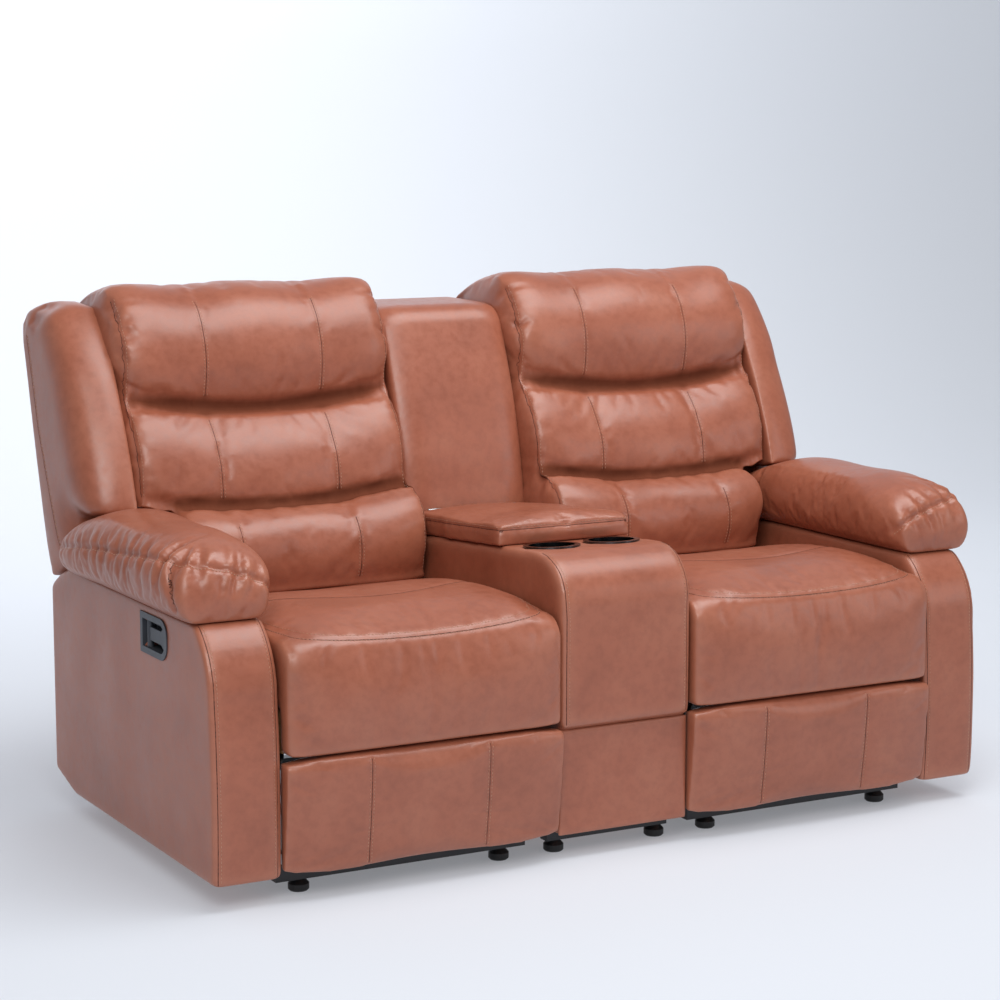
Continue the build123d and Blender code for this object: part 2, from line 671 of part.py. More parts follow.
# Seat plates: they carry the linkage pivots and slide in the tracks on round glides
with BuildPart() as seat_plates:
    plate_front = -FRONT_PIVOT[0] - 2 * HUB_RADIUS
    plate_nose = FRONT_PIVOT[1] - 1.5 * HUB_RADIUS
    leg_front = GLIDE_FRONT_Y - TRACK_HEIGHT
    leg_rear = GLIDE_REAR_Y + TRACK_HEIGHT
    for plane in layer_planes(PLATE_LAYER, PLATE):
        with BuildSketch(plane):
            with BuildLine():
                Polyline(
                    (plate_front, SEAT_FRAME_TOP),
                    (plate_front, plate_nose),
                    (-REAR_PIVOT[0] + 2 * HUB_RADIUS, plate_nose),
                    (leg_front, 3 * GLIDE_Z - 20),
                    (leg_front, BASE_TOP + TRACK_WALL),
                    (leg_rear, BASE_TOP + TRACK_WALL),
                    (leg_rear, SEAT_FRAME_TOP),
                    close=True,
                )
            make_face()
            fillet(vertices(), HUB_RADIUS)
            with Locations(((leg_front + leg_rear) / 2, 3 * GLIDE_Z)):
                RectangleRounded(leg_rear - leg_front - 90, 90, 30, mode=Mode.SUBTRACT)
        extrude(amount=PLATE)
    studs(FRONT_PIVOT, HUB_PIN_RADIUS, FRONT_LAYER, PLATE_LAYER)
    studs(REAR_PIVOT, HUB_PIN_RADIUS, REAR_LAYER, PLATE_LAYER)
    for glide_y in (GLIDE_FRONT_Y, GLIDE_REAR_Y):
        studs(
            (-glide_y, GLIDE_Z),
            TRACK_HEIGHT / 2 - TRACK_WALL - FIT,
            PLATE_LAYER + PLATE,
            TRACK_HALF - TRACK_WALL - FIT,
        )
save_pair(seat_plates.part, "seat_plates")

# Footrest linkage: front and rear links swing on the seat plates, lower and upper links carry the bracket
with BuildPart() as front_links:
    link_plates(
        FRONT_LAYER,
        [(FRONT_PIVOT, HUB_RADIUS), (FRONT_TO_LOWER, LINK_RADIUS), (FRONT_TO_UPPER, LINK_RADIUS - 1)],
        [(FRONT_PIVOT, HUB_PIN_RADIUS + PIN_PLAY)],
    )
    studs(FRONT_TO_LOWER, PIN_RADIUS, LOWER_LAYER, FRONT_LAYER)
    studs(FRONT_TO_UPPER, PIN_RADIUS, FRONT_LAYER + LINK, UPPER_LAYER + LINK)
save_pair(front_links.part, "front_links")

with BuildPart() as rear_links:
    link_plates(
        REAR_LAYER,
        [(REAR_PIVOT, HUB_RADIUS), (REAR_TO_LOWER, LINK_RADIUS)],
        [(REAR_PIVOT, HUB_PIN_RADIUS + PIN_PLAY), (REAR_TO_LOWER, PIN_RADIUS + OPEN_PIVOT_PLAY)],
    )
    with BuildSketch(Plane.YZ.offset(MECH_X - REAR_LAYER)):
        with Locations(side(REAR_PIVOT)):
            Circle(TUBE_RADIUS)
            Circle(TUBE_RADIUS - TUBE_WALL, mode=Mode.SUBTRACT)
    extrude(amount=2 * REAR_LAYER)
save_pair(rear_links.part, "rear_links")

with BuildPart() as lower_links:
    for plane in layer_planes(LOWER_LAYER, LINK):
        with BuildSketch(plane):
            for start, end in ((REAR_TO_LOWER, FRONT_TO_LOWER), (FRONT_TO_LOWER, LOWER_TO_BRACKET)):
                with BuildLine():
                    Line(side(start), side(end))
                trace(line_width=2 * LINK_RADIUS - 2)
            for pivot in (REAR_TO_LOWER, FRONT_TO_LOWER, LOWER_TO_BRACKET):
                with Locations(side(pivot)):
                    Circle(LINK_RADIUS)
            with Locations(side(FRONT_TO_LOWER)):
                Circle(PIN_RADIUS + PIN_PLAY, mode=Mode.SUBTRACT)
        extrude(amount=LINK)
    studs(REAR_TO_LOWER, PIN_RADIUS, REAR_LAYER, LOWER_LAYER)
    studs(LOWER_TO_BRACKET, PIN_RADIUS, REAR_LAYER, LOWER_LAYER)
save_pair(lower_links.part, "lower_links")

with BuildPart() as upper_links:
    link_plates(
        UPPER_LAYER,
        [(FRONT_TO_UPPER, LINK_RADIUS - 1), (UPPER_TO_BRACKET, LINK_RADIUS - 1)],
        [(FRONT_TO_UPPER, PIN_RADIUS + PIN_PLAY)],
    )
    studs(UPPER_TO_BRACKET, PIN_RADIUS, REAR_LAYER, UPPER_LAYER)
save_pair(upper_links.part, "upper_links")

# Footrest: brackets, board and pad
with BuildPart() as footrest_brackets:
    flange_low = UPPER_TO_BRACKET[1] - 2 * LINK_RADIUS
    flange_high = LOWER_TO_BRACKET[1] + 2 * LINK_RADIUS
    for plane in layer_planes(REAR_LAYER, LINK):
        with BuildSketch(plane):
            with Locations(side(LOWER_TO_BRACKET)):
                Circle(LINK_RADIUS)
            with Locations((FOOTREST_BACK + LINK / 2, (flange_low + flange_high) / 2)):
                Rectangle(LINK, flange_high - flange_low)
            make_hull()
            with Locations(side(LOWER_TO_BRACKET)):
                Circle(PIN_RADIUS + PIN_PLAY, mode=Mode.SUBTRACT)
            with Locations(side(UPPER_TO_BRACKET)):
                Circle(PIN_RADIUS + OPEN_PIVOT_PLAY, mode=Mode.SUBTRACT)
        extrude(amount=LINK)
    for plane in layer_planes(REAR_LAYER - BRACKET_FLANGE, BRACKET_FLANGE):
        with BuildSketch(plane):
            with Locations((FOOTREST_BACK + LINK / 2, (flange_low + flange_high) / 2)):
                Rectangle(LINK, flange_high - flange_low)
        extrude(amount=BRACKET_FLANGE)
save_pair(footrest_brackets.part, "footrest_brackets")

with BuildPart() as footrest_board:
    board_height = FOOTREST_TOP - FOOTREST_BOTTOM - FOOTREST_BOARD_INSET
    with BuildSketch(Plane.XZ.offset(-FOOTREST_BACK)):
        with Locations((SEAT_MIDDLE, (FOOTREST_TOP + FOOTREST_BOTTOM) / 2)):
            RectangleRounded(
                SEAT_OUTER - SEAT_INNER - 2 * FOOTREST_BOARD_INSET,
                board_height,
                FOOTREST_BOARD_INSET / 2,
            )
    extrude(amount=FOOTREST_BOARD)
save_pair(footrest_board.part, "footrest_board")


def footrest_section(x, draw):
    """Side view of the footrest pad: upright back, front face leaning in towards the floor."""
    back = FOOTREST_BACK - FOOTREST_BOARD - FIT
    corner = FOOTREST_CORNER
    with BuildSketch(Plane.YZ.offset(x)) as section:
        with BuildLine():
            Polyline(
                (back, FOOTREST_BOTTOM + draw),
                (back, FOOTREST_TOP - draw),
                (SEAT_FRONT + corner, FOOTREST_TOP - draw),
            )
            ThreePointArc(
                (SEAT_FRONT + corner, FOOTREST_TOP - draw),
                (SEAT_FRONT + draw + 0.3 * corner, FOOTREST_TOP - draw - 0.3 * corner),
                (SEAT_FRONT + draw, FOOTREST_TOP - draw - corner),
            )
            ThreePointArc(
                (SEAT_FRONT + draw, FOOTREST_TOP - draw - corner),
                (SEAT_FRONT + draw + 0.3 * FOOTREST_TAPER, (FOOTREST_TOP + FOOTREST_BOTTOM) / 2),
                (SEAT_FRONT + draw + FOOTREST_TAPER - 4, FOOTREST_BOTTOM + draw),
            )
            Line(
                (SEAT_FRONT + draw + FOOTREST_TAPER - 4, FOOTREST_BOTTOM + draw),
                (back, FOOTREST_BOTTOM + draw),
            )
        make_face()
    return section.sketch


with BuildPart() as footrest_pad:
    loft([
        footrest_section(SEAT_INNER, FOOTREST_DRAW),
        footrest_section(SEAT_INNER + FOOTREST_FULL_IN, FOOTREST_DRAW / 12),
        footrest_section(SEAT_MIDDLE, 0),
        footrest_section(SEAT_OUTER - FOOTREST_FULL_IN, FOOTREST_DRAW / 12),
        footrest_section(SEAT_OUTER, FOOTREST_DRAW),
    ])
save_pair(footrest_pad.part, "footrest_pad")

# Back: leaning frame on two pivot arms, outside cover, channelled cushion and outer wing
with BuildPart() as back_frame:
    post_out = PIVOT_LAYER
    post_in = PIVOT_LAYER - BACK_POST
    frame_top = WING_TOP - BACK_RAIL
    low = up_back(FRAME_BOTTOM)
    high = up_back(frame_top)
    with BuildSketch(BACK_PLANE.offset(BACK_COVER + FIT)):
        with Locations((MECH_X, (low + high) / 2)):
            Rectangle(2 * post_out, high - low)
        rail_gap = (high - low - 3 * BACK_RAIL) / 2
        for start in (low + BACK_RAIL, low + 2 * BACK_RAIL + rail_gap):
            with Locations((MECH_X, start + rail_gap / 2)):
                Rectangle(2 * post_in, rail_gap, mode=Mode.SUBTRACT)
    extrude(amount=BACK_FRAME)
save_pair(back_frame.part, "back_frame")

with BuildPart() as back_pivot_arms:
    strap = BACK_FRAME - 4 * FIT
    arm_low = LUMBAR_BOTTOM - strap
    arm_high = arm_low + 2 * BACK_RAIL
    mid_frame = (BACK_COVER + FIT + BACK_FRAME / 2) / cos(radians(BACK_RAKE))
    for plane in layer_planes(PIVOT_LAYER, PIVOT_ARM):
        with BuildSketch(plane):
            with Locations((RECLINE_Y, RECLINE_Z)):
                Circle(PIVOT_HUB_RADIUS)
            with Locations((rear_y(arm_low) - mid_frame, arm_low)):
                Circle(strap / 2)
            make_hull()
            with BuildLine():
                Line((rear_y(arm_low) - mid_frame, arm_low), (rear_y(arm_high) - mid_frame, arm_high))
            trace(line_width=strap)
            with Locations((RECLINE_Y, RECLINE_Z)):
                Circle(PIVOT_PIN_RADIUS + PIN_PLAY, mode=Mode.SUBTRACT)
        extrude(amount=PIVOT_ARM)
save_pair(back_pivot_arms.part, "back_pivot_arms")

with BuildPart() as back_cover:
    step_z = RECLINE_Z + ARM_ARC * cos(radians(BACK_RAKE * 2))
    top = up_back(WING_TOP - WING_HEEL)
    step = up_back(step_z)
    with BuildSketch(BACK_PLANE):
        with BuildLine():
            Polyline(
                (SEAT_INNER, up_back(COVER_BOTTOM)),
                (SEAT_OUTER, up_back(COVER_BOTTOM)),
                (SEAT_OUTER, step),
                (CUSHION_OUT, step),
                (CUSHION_OUT, top),
                (SEAT_INNER, top),
                close=True,
            )
        make_face()
    extrude(amount=BACK_COVER)
save_pair(back_cover.part, "back_cover")


def upper_back_section(x, draw):
    """Side view of the two upper channels of the back cushion."""
    rear_high = BACK_TOP - HEAD_WRAP
    hook_z = WING_TOP - WING_HEEL + 2
    crease = (BACK_CREASE_Y + draw, BACK_CREASE_Z)
    crease_2 = (BACK_CREASE_2_Y + draw, BACK_CREASE_2_Z)
    channel = (BACK_CREASE_Y + CHANNEL_SWELL + draw, BACK_CREASE_Z + CHANNEL_RISE)
    chin = (HEAD_Y + HEAD_CHIN_IN + draw, HEAD_Z + HEAD_CHIN_UP)
    brow = (HEAD_Y + HEAD_BROW_IN + draw, BACK_TOP - HEAD_BROW_DOWN - draw)
    crest = (HEAD_Y + HEAD_DEPTH, BACK_TOP - draw)
    rear_top = (rear_y(rear_high - draw) - BACK_COVER, rear_high - draw)
    nape = ((crest[0] + rear_top[0]) / 2, (crest[1] + rear_top[1]) / 2 + NAPE_SWELL)
    with BuildSketch(Plane.YZ.offset(x)) as section:
        with BuildLine():
            ThreePointArc(crease, channel, crease_2)
            ThreePointArc(crease_2, (HEAD_Y + draw, HEAD_Z), chin)
            ThreePointArc(chin, brow, crest)
            ThreePointArc(crest, nape, rear_top)
            Polyline(
                rear_top,
                (rear_y(hook_z) - BACK_COVER, hook_z),
                (rear_y(hook_z) - CUSHION_SETBACK, hook_z),
                (rear_y(BACK_CREASE_Z) - CUSHION_SETBACK, BACK_CREASE_Z),
                crease,
            )
        make_face()
    return section.sketch


def lumbar_section(x, draw):
    """Side view of the lowest channel of the back cushion, between the arm and the console."""
    rear = rear_y(LUMBAR_BOTTOM) - CUSHION_SETBACK
    with BuildSketch(Plane.YZ.offset(x)) as section:
        with BuildLine():
            ThreePointArc(
                (LUMBAR_Y + LUMBAR_TUCK + draw, LUMBAR_BOTTOM),
                (LUMBAR_Y + draw, LUMBAR_BOTTOM + LUMBAR_RISE),
                (BACK_CREASE_Y + LUMBAR_LAP, BACK_CREASE_Z + LUMBAR_LAP / 2),
            )
            Polyline(
                (BACK_CREASE_Y + LUMBAR_LAP, BACK_CREASE_Z + LUMBAR_LAP / 2),
                (rear_y(BACK_CREASE_Z) - CUSHION_SETBACK, BACK_CREASE_Z + LUMBAR_LAP / 2),
                (rear, LUMBAR_BOTTOM),
                (LUMBAR_Y + LUMBAR_TUCK + draw, LUMBAR_BOTTOM),
            )
        make_face()
    return section.sketch


with BuildPart() as back_upper:
    loft([
        upper_back_section(SEAT_INNER, CUSHION_DRAW),
        upper_back_section(SEAT_INNER + 2 * CUSHION_DRAW, CUSHION_DRAW / 5),
        upper_back_section(CUSHION_MIDDLE - STITCH_X, STITCH_DRAW),
        upper_back_section(CUSHION_MIDDLE, 0),
        upper_back_section(CUSHION_MIDDLE + STITCH_X, STITCH_DRAW),
        upper_back_section(CUSHION_OUT - 2 * CUSHION_DRAW, CUSHION_DRAW / 5),
        upper_back_section(CUSHION_OUT, CUSHION_DRAW),
    ])

with BuildPart() as back_cushion:
    lumbar_middle = (SEAT_INNER + LUMBAR_OUT) / 2
    loft([
        lumbar_section(SEAT_INNER, CUSHION_DRAW),
        lumbar_section(SEAT_INNER + 2 * CUSHION_DRAW, CUSHION_DRAW / 5),
        lumbar_section(lumbar_middle, 0),
        lumbar_section(LUMBAR_OUT - 2 * CUSHION_DRAW, CUSHION_DRAW / 5),
        lumbar_section(LUMBAR_OUT, CUSHION_DRAW),
    ])
    add(back_upper.part)
save_pair(back_cushion.part, "back_cushion")


def wing_section(x, roll, drop):
    """Side view of the wing: a padded front roll, and a foot that swings clear over the rear of the arm."""
    arc = ARM_ARC + SIDE_GAP
    turn = radians(WING_FOOT_TURN)
    foot_z = RECLINE_Z + arc * cos(turn)
    foot = (rear_y(foot_z), foot_z)
    throat = PAD_REAR + 2 * SIDE_GAP
    arc_end = (throat, RECLINE_Z + sqrt(arc**2 - (throat - RECLINE_Y) ** 2))
    arc_middle = (RECLINE_Y + arc * sin(turn / 2), RECLINE_Z + arc * cos(turn / 2))
    chin = (WING_CHIN_Y + roll, BACK_CREASE_Z + SIDE_GAP)
    belly = (chin[0] + WING_BELLY_IN, chin[1] + WING_BELLY_UP)
    brow = (chin[0] + WING_BROW_IN, chin[1] + WING_BROW_UP)
    crown = (rear_y(WING_TOP) - WING_CROWN_RUN, WING_TOP - drop)
    crest = (crown[0] - WING_CROWN_RUN, WING_TOP - drop)
    temple = ((brow[0] + crest[0]) / 2 - WING_EDGE / 2, (brow[1] + crest[1]) / 2 + WING_EDGE)
    heel = (rear_y(WING_TOP - WING_HEEL), WING_TOP - WING_HEEL)
    corner = (rear_y(WING_TOP) - WING_HEEL_IN, WING_TOP - WING_HEEL_DOWN - 3 * drop / 4)
    with BuildSketch(Plane.YZ.offset(x)) as section:
        with BuildLine():
            ThreePointArc(foot, arc_middle, arc_end)
            Polyline(arc_end, (throat, chin[1] - 3 * SIDE_GAP), chin)
            ThreePointArc(chin, belly, brow)
            ThreePointArc(brow, temple, crest)
            Line(crest, crown)
            ThreePointArc(crown, corner, heel)
            Line(heel, foot)
        make_face()
    return section.sketch


with BuildPart() as back_wing:
    loft([
        wing_section(CUSHION_OUT + FIT, 0.1 * WING_ROLL, 0),
        wing_section(CUSHION_OUT + 0.35 * WING_WIDTH, 0, 0),
        wing_section(CUSHION_OUT + 0.7 * WING_WIDTH, 0.14 * WING_ROLL, 0.2 * WING_EDGE),
        wing_section(CUSHION_OUT + 0.9 * WING_WIDTH, 0.48 * WING_ROLL, 0.6 * WING_EDGE),
        wing_section(ARM_SPAN, WING_ROLL, WING_EDGE),
    ])
save_pair(back_wing.part, "back_wing")

# Console: cover over a plywood box, kick panel, storage bin, cup holders
CONSOLE_REAR_TOP = rear_y(console_top_z(REAR_Y))


def console_outline():
    """Side view of the console as a closed wire, with a step for the kick panel."""
    nose = (CONSOLE_FRONT, CONSOLE_NOSE_Z)
    crest = (CONSOLE_TOP_Y, CONSOLE_TOP_Z)
    kick_y = CONSOLE_FRONT + KICK_SETBACK + KICK_THICKNESS
    Line((CONSOLE_FRONT, KICK_TOP + KICK_GAP), nose)
    ThreePointArc(nose, (CONSOLE_FRONT + CONSOLE_NOSE_IN, CONSOLE_TOP_Z - CONSOLE_NOSE_DOWN), crest)
    Polyline(
        crest,
        (CONSOLE_REAR_TOP, console_top_z(CONSOLE_REAR_TOP)),
        (ARM_REAR, ARM_ARC_Z),
        (ARM_REAR, BASE_TOP),
        (kick_y, BASE_TOP),
        (kick_y, KICK_TOP + KICK_GAP),
        (CONSOLE_FRONT, KICK_TOP + KICK_GAP),
    )


def console_slab(half, inset, mode=Mode.ADD):
    """A slab of the console's side view, drawn in by an inset, across the middle."""
    with BuildSketch(Plane.YZ.offset(-half)) as profile:
        with BuildLine():
            console_outline()
        make_face()
        if inset:
            offset(amount=-inset, kind=Kind.INTERSECTION, mode=Mode.REPLACE)
    extrude(profile.sketch, amount=2 * half, mode=mode)


def bin_cut(grow):
    """The opening for the bin, cut down through the console top."""
    with BuildSketch(Plane.XY.offset(CONSOLE_TOP_Z + BIN_RIM)) as mouth:
        with Locations((0, (BIN_FRONT + BIN_REAR) / 2)):
            RectangleRounded(2 * (BIN_HALF + grow), BIN_REAR - BIN_FRONT + 2 * grow, BIN_RIM)
    extrude(mouth.sketch, amount=-BIN_DEPTH - BIN_RIM - grow, mode=Mode.SUBTRACT)


def cup_planes():
    """A plane on the console top at each cup holder, square to the slope."""
    return [
        Plane(origin=(x, CUP_Y, console_top_z(CUP_Y)), x_dir=(1, 0, 0), z_dir=LID_PLANE.z_dir)
        for x in (-CUP_X, CUP_X)
    ]


def cup_cut(radius, depth):
    """Round openings for the cup holders."""
    for plane in cup_planes():
        with BuildSketch(plane.offset(CUP_FLANGE)) as mouth:
            Circle(radius)
        extrude(mouth.sketch, amount=-depth, mode=Mode.SUBTRACT)


with BuildPart() as console_cover:
    console_slab(CONSOLE_HALF, 0)
    console_slab(CONSOLE_HALF - CONSOLE_WALL, CONSOLE_WALL, mode=Mode.SUBTRACT)
    with BuildSketch(Plane.XY.offset(BASE_TOP)):
        with Locations((0, (CONSOLE_FRONT + KICK_SETBACK + KICK_THICKNESS + ARM_REAR) / 2)):
            Rectangle(
                2 * (CONSOLE_HALF - CONSOLE_WALL),
                ARM_REAR - CONSOLE_FRONT - KICK_SETBACK - KICK_THICKNESS - 2 * CONSOLE_WALL,
            )
    extrude(amount=2 * CONSOLE_WALL, mode=Mode.SUBTRACT)
    bin_cut(FIT)
    cup_cut(CUP_RADIUS + CUP_WALL + FIT, CUP_DEPTH)
save(console_cover.part, "console_cover")

with BuildPart() as console_frame:
    inset = CONSOLE_WALL + FIT
    console_slab(CONSOLE_HALF - inset, inset)
    console_slab(CONSOLE_HALF - inset - CONSOLE_BOARD, inset + CONSOLE_BOARD, mode=Mode.SUBTRACT)
    bin_cut(2 * FIT)
    cup_cut(CUP_RADIUS + CUP_WALL + FIT, CUP_DEPTH + CUP_FLANGE + FIT)
save(console_frame.part, "console_frame")

with BuildPart() as console_kick_panel:
    with BuildSketch(Plane.XZ.offset(-CONSOLE_FRONT - KICK_SETBACK)):
        with Locations((0, (BASE_TOP + KICK_TOP) / 2)):
            Rectangle(2 * CONSOLE_HALF, KICK_TOP - BASE_TOP)
    extrude(amount=-KICK_THICKNESS + FIT)
    fillet(console_kick_panel.edges().filter_by(Axis.Z).group_by(Axis.Y)[0], KICK_THICKNESS / 2)
save(console_kick_panel.part, "console_kick_panel")

with BuildPart() as console_bin:
    with BuildSketch(LID_PLANE):
        with Locations((0, (BIN_FRONT + BIN_REAR) / 2 - LID_REAR)):
            RectangleRounded(2 * (BIN_HALF + BIN_RIM), BIN_REAR - BIN_FRONT + 2 * BIN_RIM, 2 * BIN_RIM)
    extrude(amount=LID_CLEAR)
    with BuildSketch(Plane.XY.offset(CONSOLE_TOP_Z - BIN_DEPTH)):
        with Locations((0, (BIN_FRONT + BIN_REAR) / 2)):
            RectangleRounded(2 * BIN_HALF, BIN_REAR - BIN_FRONT, BIN_RIM)
    extrude(until=Until.NEXT, mode=Mode.ADD)
    with BuildSketch(Plane.XY.offset(CONSOLE_TOP_Z - BIN_DEPTH + BIN_WALL)):
        with Locations((0, (BIN_FRONT + BIN_REAR) / 2)):
            RectangleRounded(
                2 * (BIN_HALF - BIN_WALL),
                BIN_REAR - BIN_FRONT - 2 * BIN_WALL,
                BIN_RIM - BIN_WALL,
            )
    extrude(amount=BIN_DEPTH + BIN_RIM, mode=Mode.SUBTRACT)
save(console_bin.part, "console_bin")

with BuildPart() as cup_holders:
    for plane in cup_planes():
        with BuildSketch(plane):
            Circle(CUP_RIM_RADIUS)
        extrude(amount=CUP_FLANGE)
        with BuildSketch(plane):
            Circle(CUP_RADIUS + CUP_WALL)
        extrude(amount=-CUP_DEPTH + CUP_FLANGE)
    cup_cut(CUP_RADIUS, CUP_DEPTH - CUP_WALL)
save(cup_holders.part, "cup_holders")

# Console lid: board, pad and a hinge along its rear top edge
with BuildPart() as lid_board:
    with BuildSketch(LID_PLANE.offset(LID_CLEAR + FIT)):
        with Locations((0, -LID_LENGTH / 2)):
            Rectangle(2 * CONSOLE_HALF - 4 * LID_CLEAR, LID_LENGTH - 2 * LID_CLEAR)
    extrude(amount=LID_BOARD)
save(lid_board.part, "lid_board")


def lid_section(along, draw):
    """Cross-section of the lid pad with a crowned top."""
    base = LID_CLEAR + LID_BOARD + 2 * FIT
    half = CONSOLE_HALF - draw / 2
    top = base + LID_PAD - draw
    across = Plane(
        origin=LID_PLANE.from_local_coords((0, along, 0)),
        x_dir=(1, 0, 0),
        z_dir=LID_PLANE.y_dir * -1,
    )
    brow = top - 1
    side = brow - LID_EDGE_DROP
    flat = half - LID_EDGE_RUN
    edge = (half - LID_EDGE_RUN / 4, brow - LID_EDGE_DROP / 3)
    with BuildSketch(across) as section:
        with BuildLine():
            Line((-half, base), (half, base))
            Line((half, base), (half, side))
            ThreePointArc((half, side), edge, (flat, brow))
            ThreePointArc((flat, brow), (0, top + LID_CROWN), (-flat, brow))
            ThreePointArc((-flat, brow), (-edge[0], edge[1]), (-half, side))
            Line((-half, side), (-half, base))
        make_face()
    return section.sketch


with BuildPart() as lid_pad:
    loft([
        lid_section(-LID_LENGTH, LID_EDGE_DROP),
        lid_section(LID_END_RUN - LID_LENGTH, 2),
        lid_section(LID_FULL_RUN - LID_LENGTH, 0),
        lid_section(-LID_LENGTH / 2, 0),
        lid_section(-LID_FULL_RUN, 0),
        lid_section(-LID_END_RUN, 2),
        lid_section(0, LID_EDGE_DROP / 2),
    ])
save(lid_pad.part, "lid_pad")

HINGE_UP = LID_CLEAR + LID_BOARD + LID_PAD - HINGE_RADIUS
HINGE_BACK = HINGE_LEAF + HINGE_RADIUS + FIT
HINGE_PLANE = Plane(
    origin=LID_PLANE.from_local_coords((0, HINGE_BACK, HINGE_UP)),
    x_dir=LID_PLANE.y_dir,
    z_dir=(1, 0, 0),
)


def knuckle(start, end, radius):
    """A length of hinge barrel on the hinge axis."""
    with BuildSketch(HINGE_PLANE.offset(start)) as barrel:
        Circle(radius)
    extrude(barrel.sketch, amount=end - start)


with BuildPart() as lid_hinge_moving:
    leaf = HINGE_LEAF + FIT
    leaf_top = HINGE_RADIUS - FIT
    leaf_bottom = LID_CLEAR - HINGE_UP
    with BuildSketch(HINGE_PLANE.offset(-HINGE_MIDDLE)):
        with Locations((FIT + leaf / 2 - HINGE_BACK, (leaf_top + leaf_bottom) / 2)):
            Rectangle(leaf, leaf_top - leaf_bottom)
        with Locations((-HINGE_BACK / 2, leaf_top - HINGE_LEAF / 2)):
            Rectangle(HINGE_BACK - 2 * FIT, HINGE_LEAF)
        Circle(HINGE_RADIUS)
        Circle(HINGE_PIN_RADIUS + PIN_PLAY, mode=Mode.SUBTRACT)
    extrude(amount=2 * HINGE_MIDDLE)
save(lid_hinge_moving.part, "lid_hinge_moving")

with BuildPart() as lid_hinge_fixed:
    for start, end in ((-HINGE_HALF, -HINGE_MIDDLE - FIT), (HINGE_MIDDLE + FIT, HINGE_HALF)):
        knuckle(start, end, HINGE_RADIUS)
        with BuildSketch(HINGE_PLANE.offset(start)):
            with Locations((HINGE_RADIUS - HINGE_LEAF / 2, -HINGE_UP / 2)):
                Rectangle(HINGE_LEAF, HINGE_UP)
        extrude(amount=end - start)
    knuckle(-HINGE_HALF, HINGE_HALF, HINGE_PIN_RADIUS)
save(lid_hinge_fixed.part, "lid_hinge_fixed")

# Console back: leaning frame, outside cover and pad
CONSOLE_BACK_MID_Z = (console_top_z(LID_REAR) + CONSOLE_BACK_TOP) / 2
with BuildPart() as console_back_frame:
    frame_half = CONSOLE_HALF - BACK_POST
    low = up_back(console_top_z(CONSOLE_REAR_TOP) + FIT)
    high = up_back(CONSOLE_BACK_TOP - BACK_RAIL / 2)
    with BuildSketch(BACK_PLANE.offset(BACK_COVER + FIT)):
        with Locations((0, (low + high) / 2)):
            Rectangle(2 * frame_half, high - low)
            Rectangle(2 * (frame_half - BACK_POST), high - low - 2 * BACK_RAIL, mode=Mode.SUBTRACT)
    extrude(amount=BACK_FRAME)
save(console_back_frame.part, "console_back_frame")

with BuildPart() as console_back_cover:
    with BuildSketch(BACK_PLANE):
        with Locations((0, (low + up_back(CONSOLE_BACK_TOP)) / 2)):
            Rectangle(2 * CONSOLE_HALF, up_back(CONSOLE_BACK_TOP) - low)
    extrude(amount=BACK_COVER)
save(console_back_cover.part, "console_back_cover")


def console_back_section(x, draw):
    """Side view of the console back pad."""
    rear_high = CONSOLE_BACK_TOP - CONSOLE_BACK_WRAP
    foot_y = LID_REAR + 2 * (HINGE_BACK + HINGE_RADIUS) + draw
    rear_y_low = CONSOLE_REAR_TOP - CUSHION_SETBACK
    foot = (foot_y, console_top_z(foot_y) + FIT)
    rear_foot = (rear_y_low, console_top_z(rear_y_low) + FIT)
    brow = (CONSOLE_BACK_Y - CONSOLE_BACK_FULL + draw, CONSOLE_BACK_TOP - CONSOLE_BACK_BROW)
    round_over = (
        CONSOLE_BACK_Y + CONSOLE_BACK_DRAW / 2 + draw,
        CONSOLE_BACK_TOP - CONSOLE_BACK_DRAW - draw / 2,
    )
    crest = (CONSOLE_BACK_Y + CONSOLE_BACK_CREST, CONSOLE_BACK_TOP - draw / 2)
    rear_top = (rear_y(rear_high) - CUSHION_SETBACK, rear_high)
    shoulder = (
        (crest[0] + rear_top[0]) / 2 + CONSOLE_BACK_DRAW,
        CONSOLE_BACK_TOP - CONSOLE_BACK_WRAP / 5,
    )
    with BuildSketch(Plane.YZ.offset(x)) as section:
        with BuildLine():
            ThreePointArc(
                foot,
                (console_back_front(CONSOLE_BACK_MID_Z) - CONSOLE_BACK_DRAW / 2 + draw, CONSOLE_BACK_MID_Z),
                brow,
            )
            ThreePointArc(brow, round_over, crest)
            ThreePointArc(crest, shoulder, rear_top)
            Polyline(rear_top, rear_foot, foot)
        make_face()
    return section.sketch


with BuildPart() as console_back_pad:
    loft([
        console_back_section(-CONSOLE_HALF, CONSOLE_BACK_DRAW),
        console_back_section(CONSOLE_BACK_FULL_IN - CONSOLE_HALF, CONSOLE_BACK_DRAW / 6),
        console_back_section(0, 0),
        console_back_section(CONSOLE_HALF - CONSOLE_BACK_FULL_IN, CONSOLE_BACK_DRAW / 6),
        console_back_section(CONSOLE_HALF, CONSOLE_BACK_DRAW),
    ])
save(console_back_pad.part, "console_back_pad")

# Console base and the glides that everything stands on
with BuildPart() as console_base:
    for bar_y in (BAR_FRONT + BAR_SECTION / 2, BAR_REAR - BAR_SECTION / 2):
        with BuildSketch(Plane.XY.offset(RAIL_BOTTOM)):
            with Locations((0, bar_y)):
                Rectangle(2 * (CONSOLE_HALF - CONSOLE_WALL), BAR_SECTION)
        extrude(amount=BASE_TOP - RAIL_BOTTOM)
save(console_base.part, "console_base")

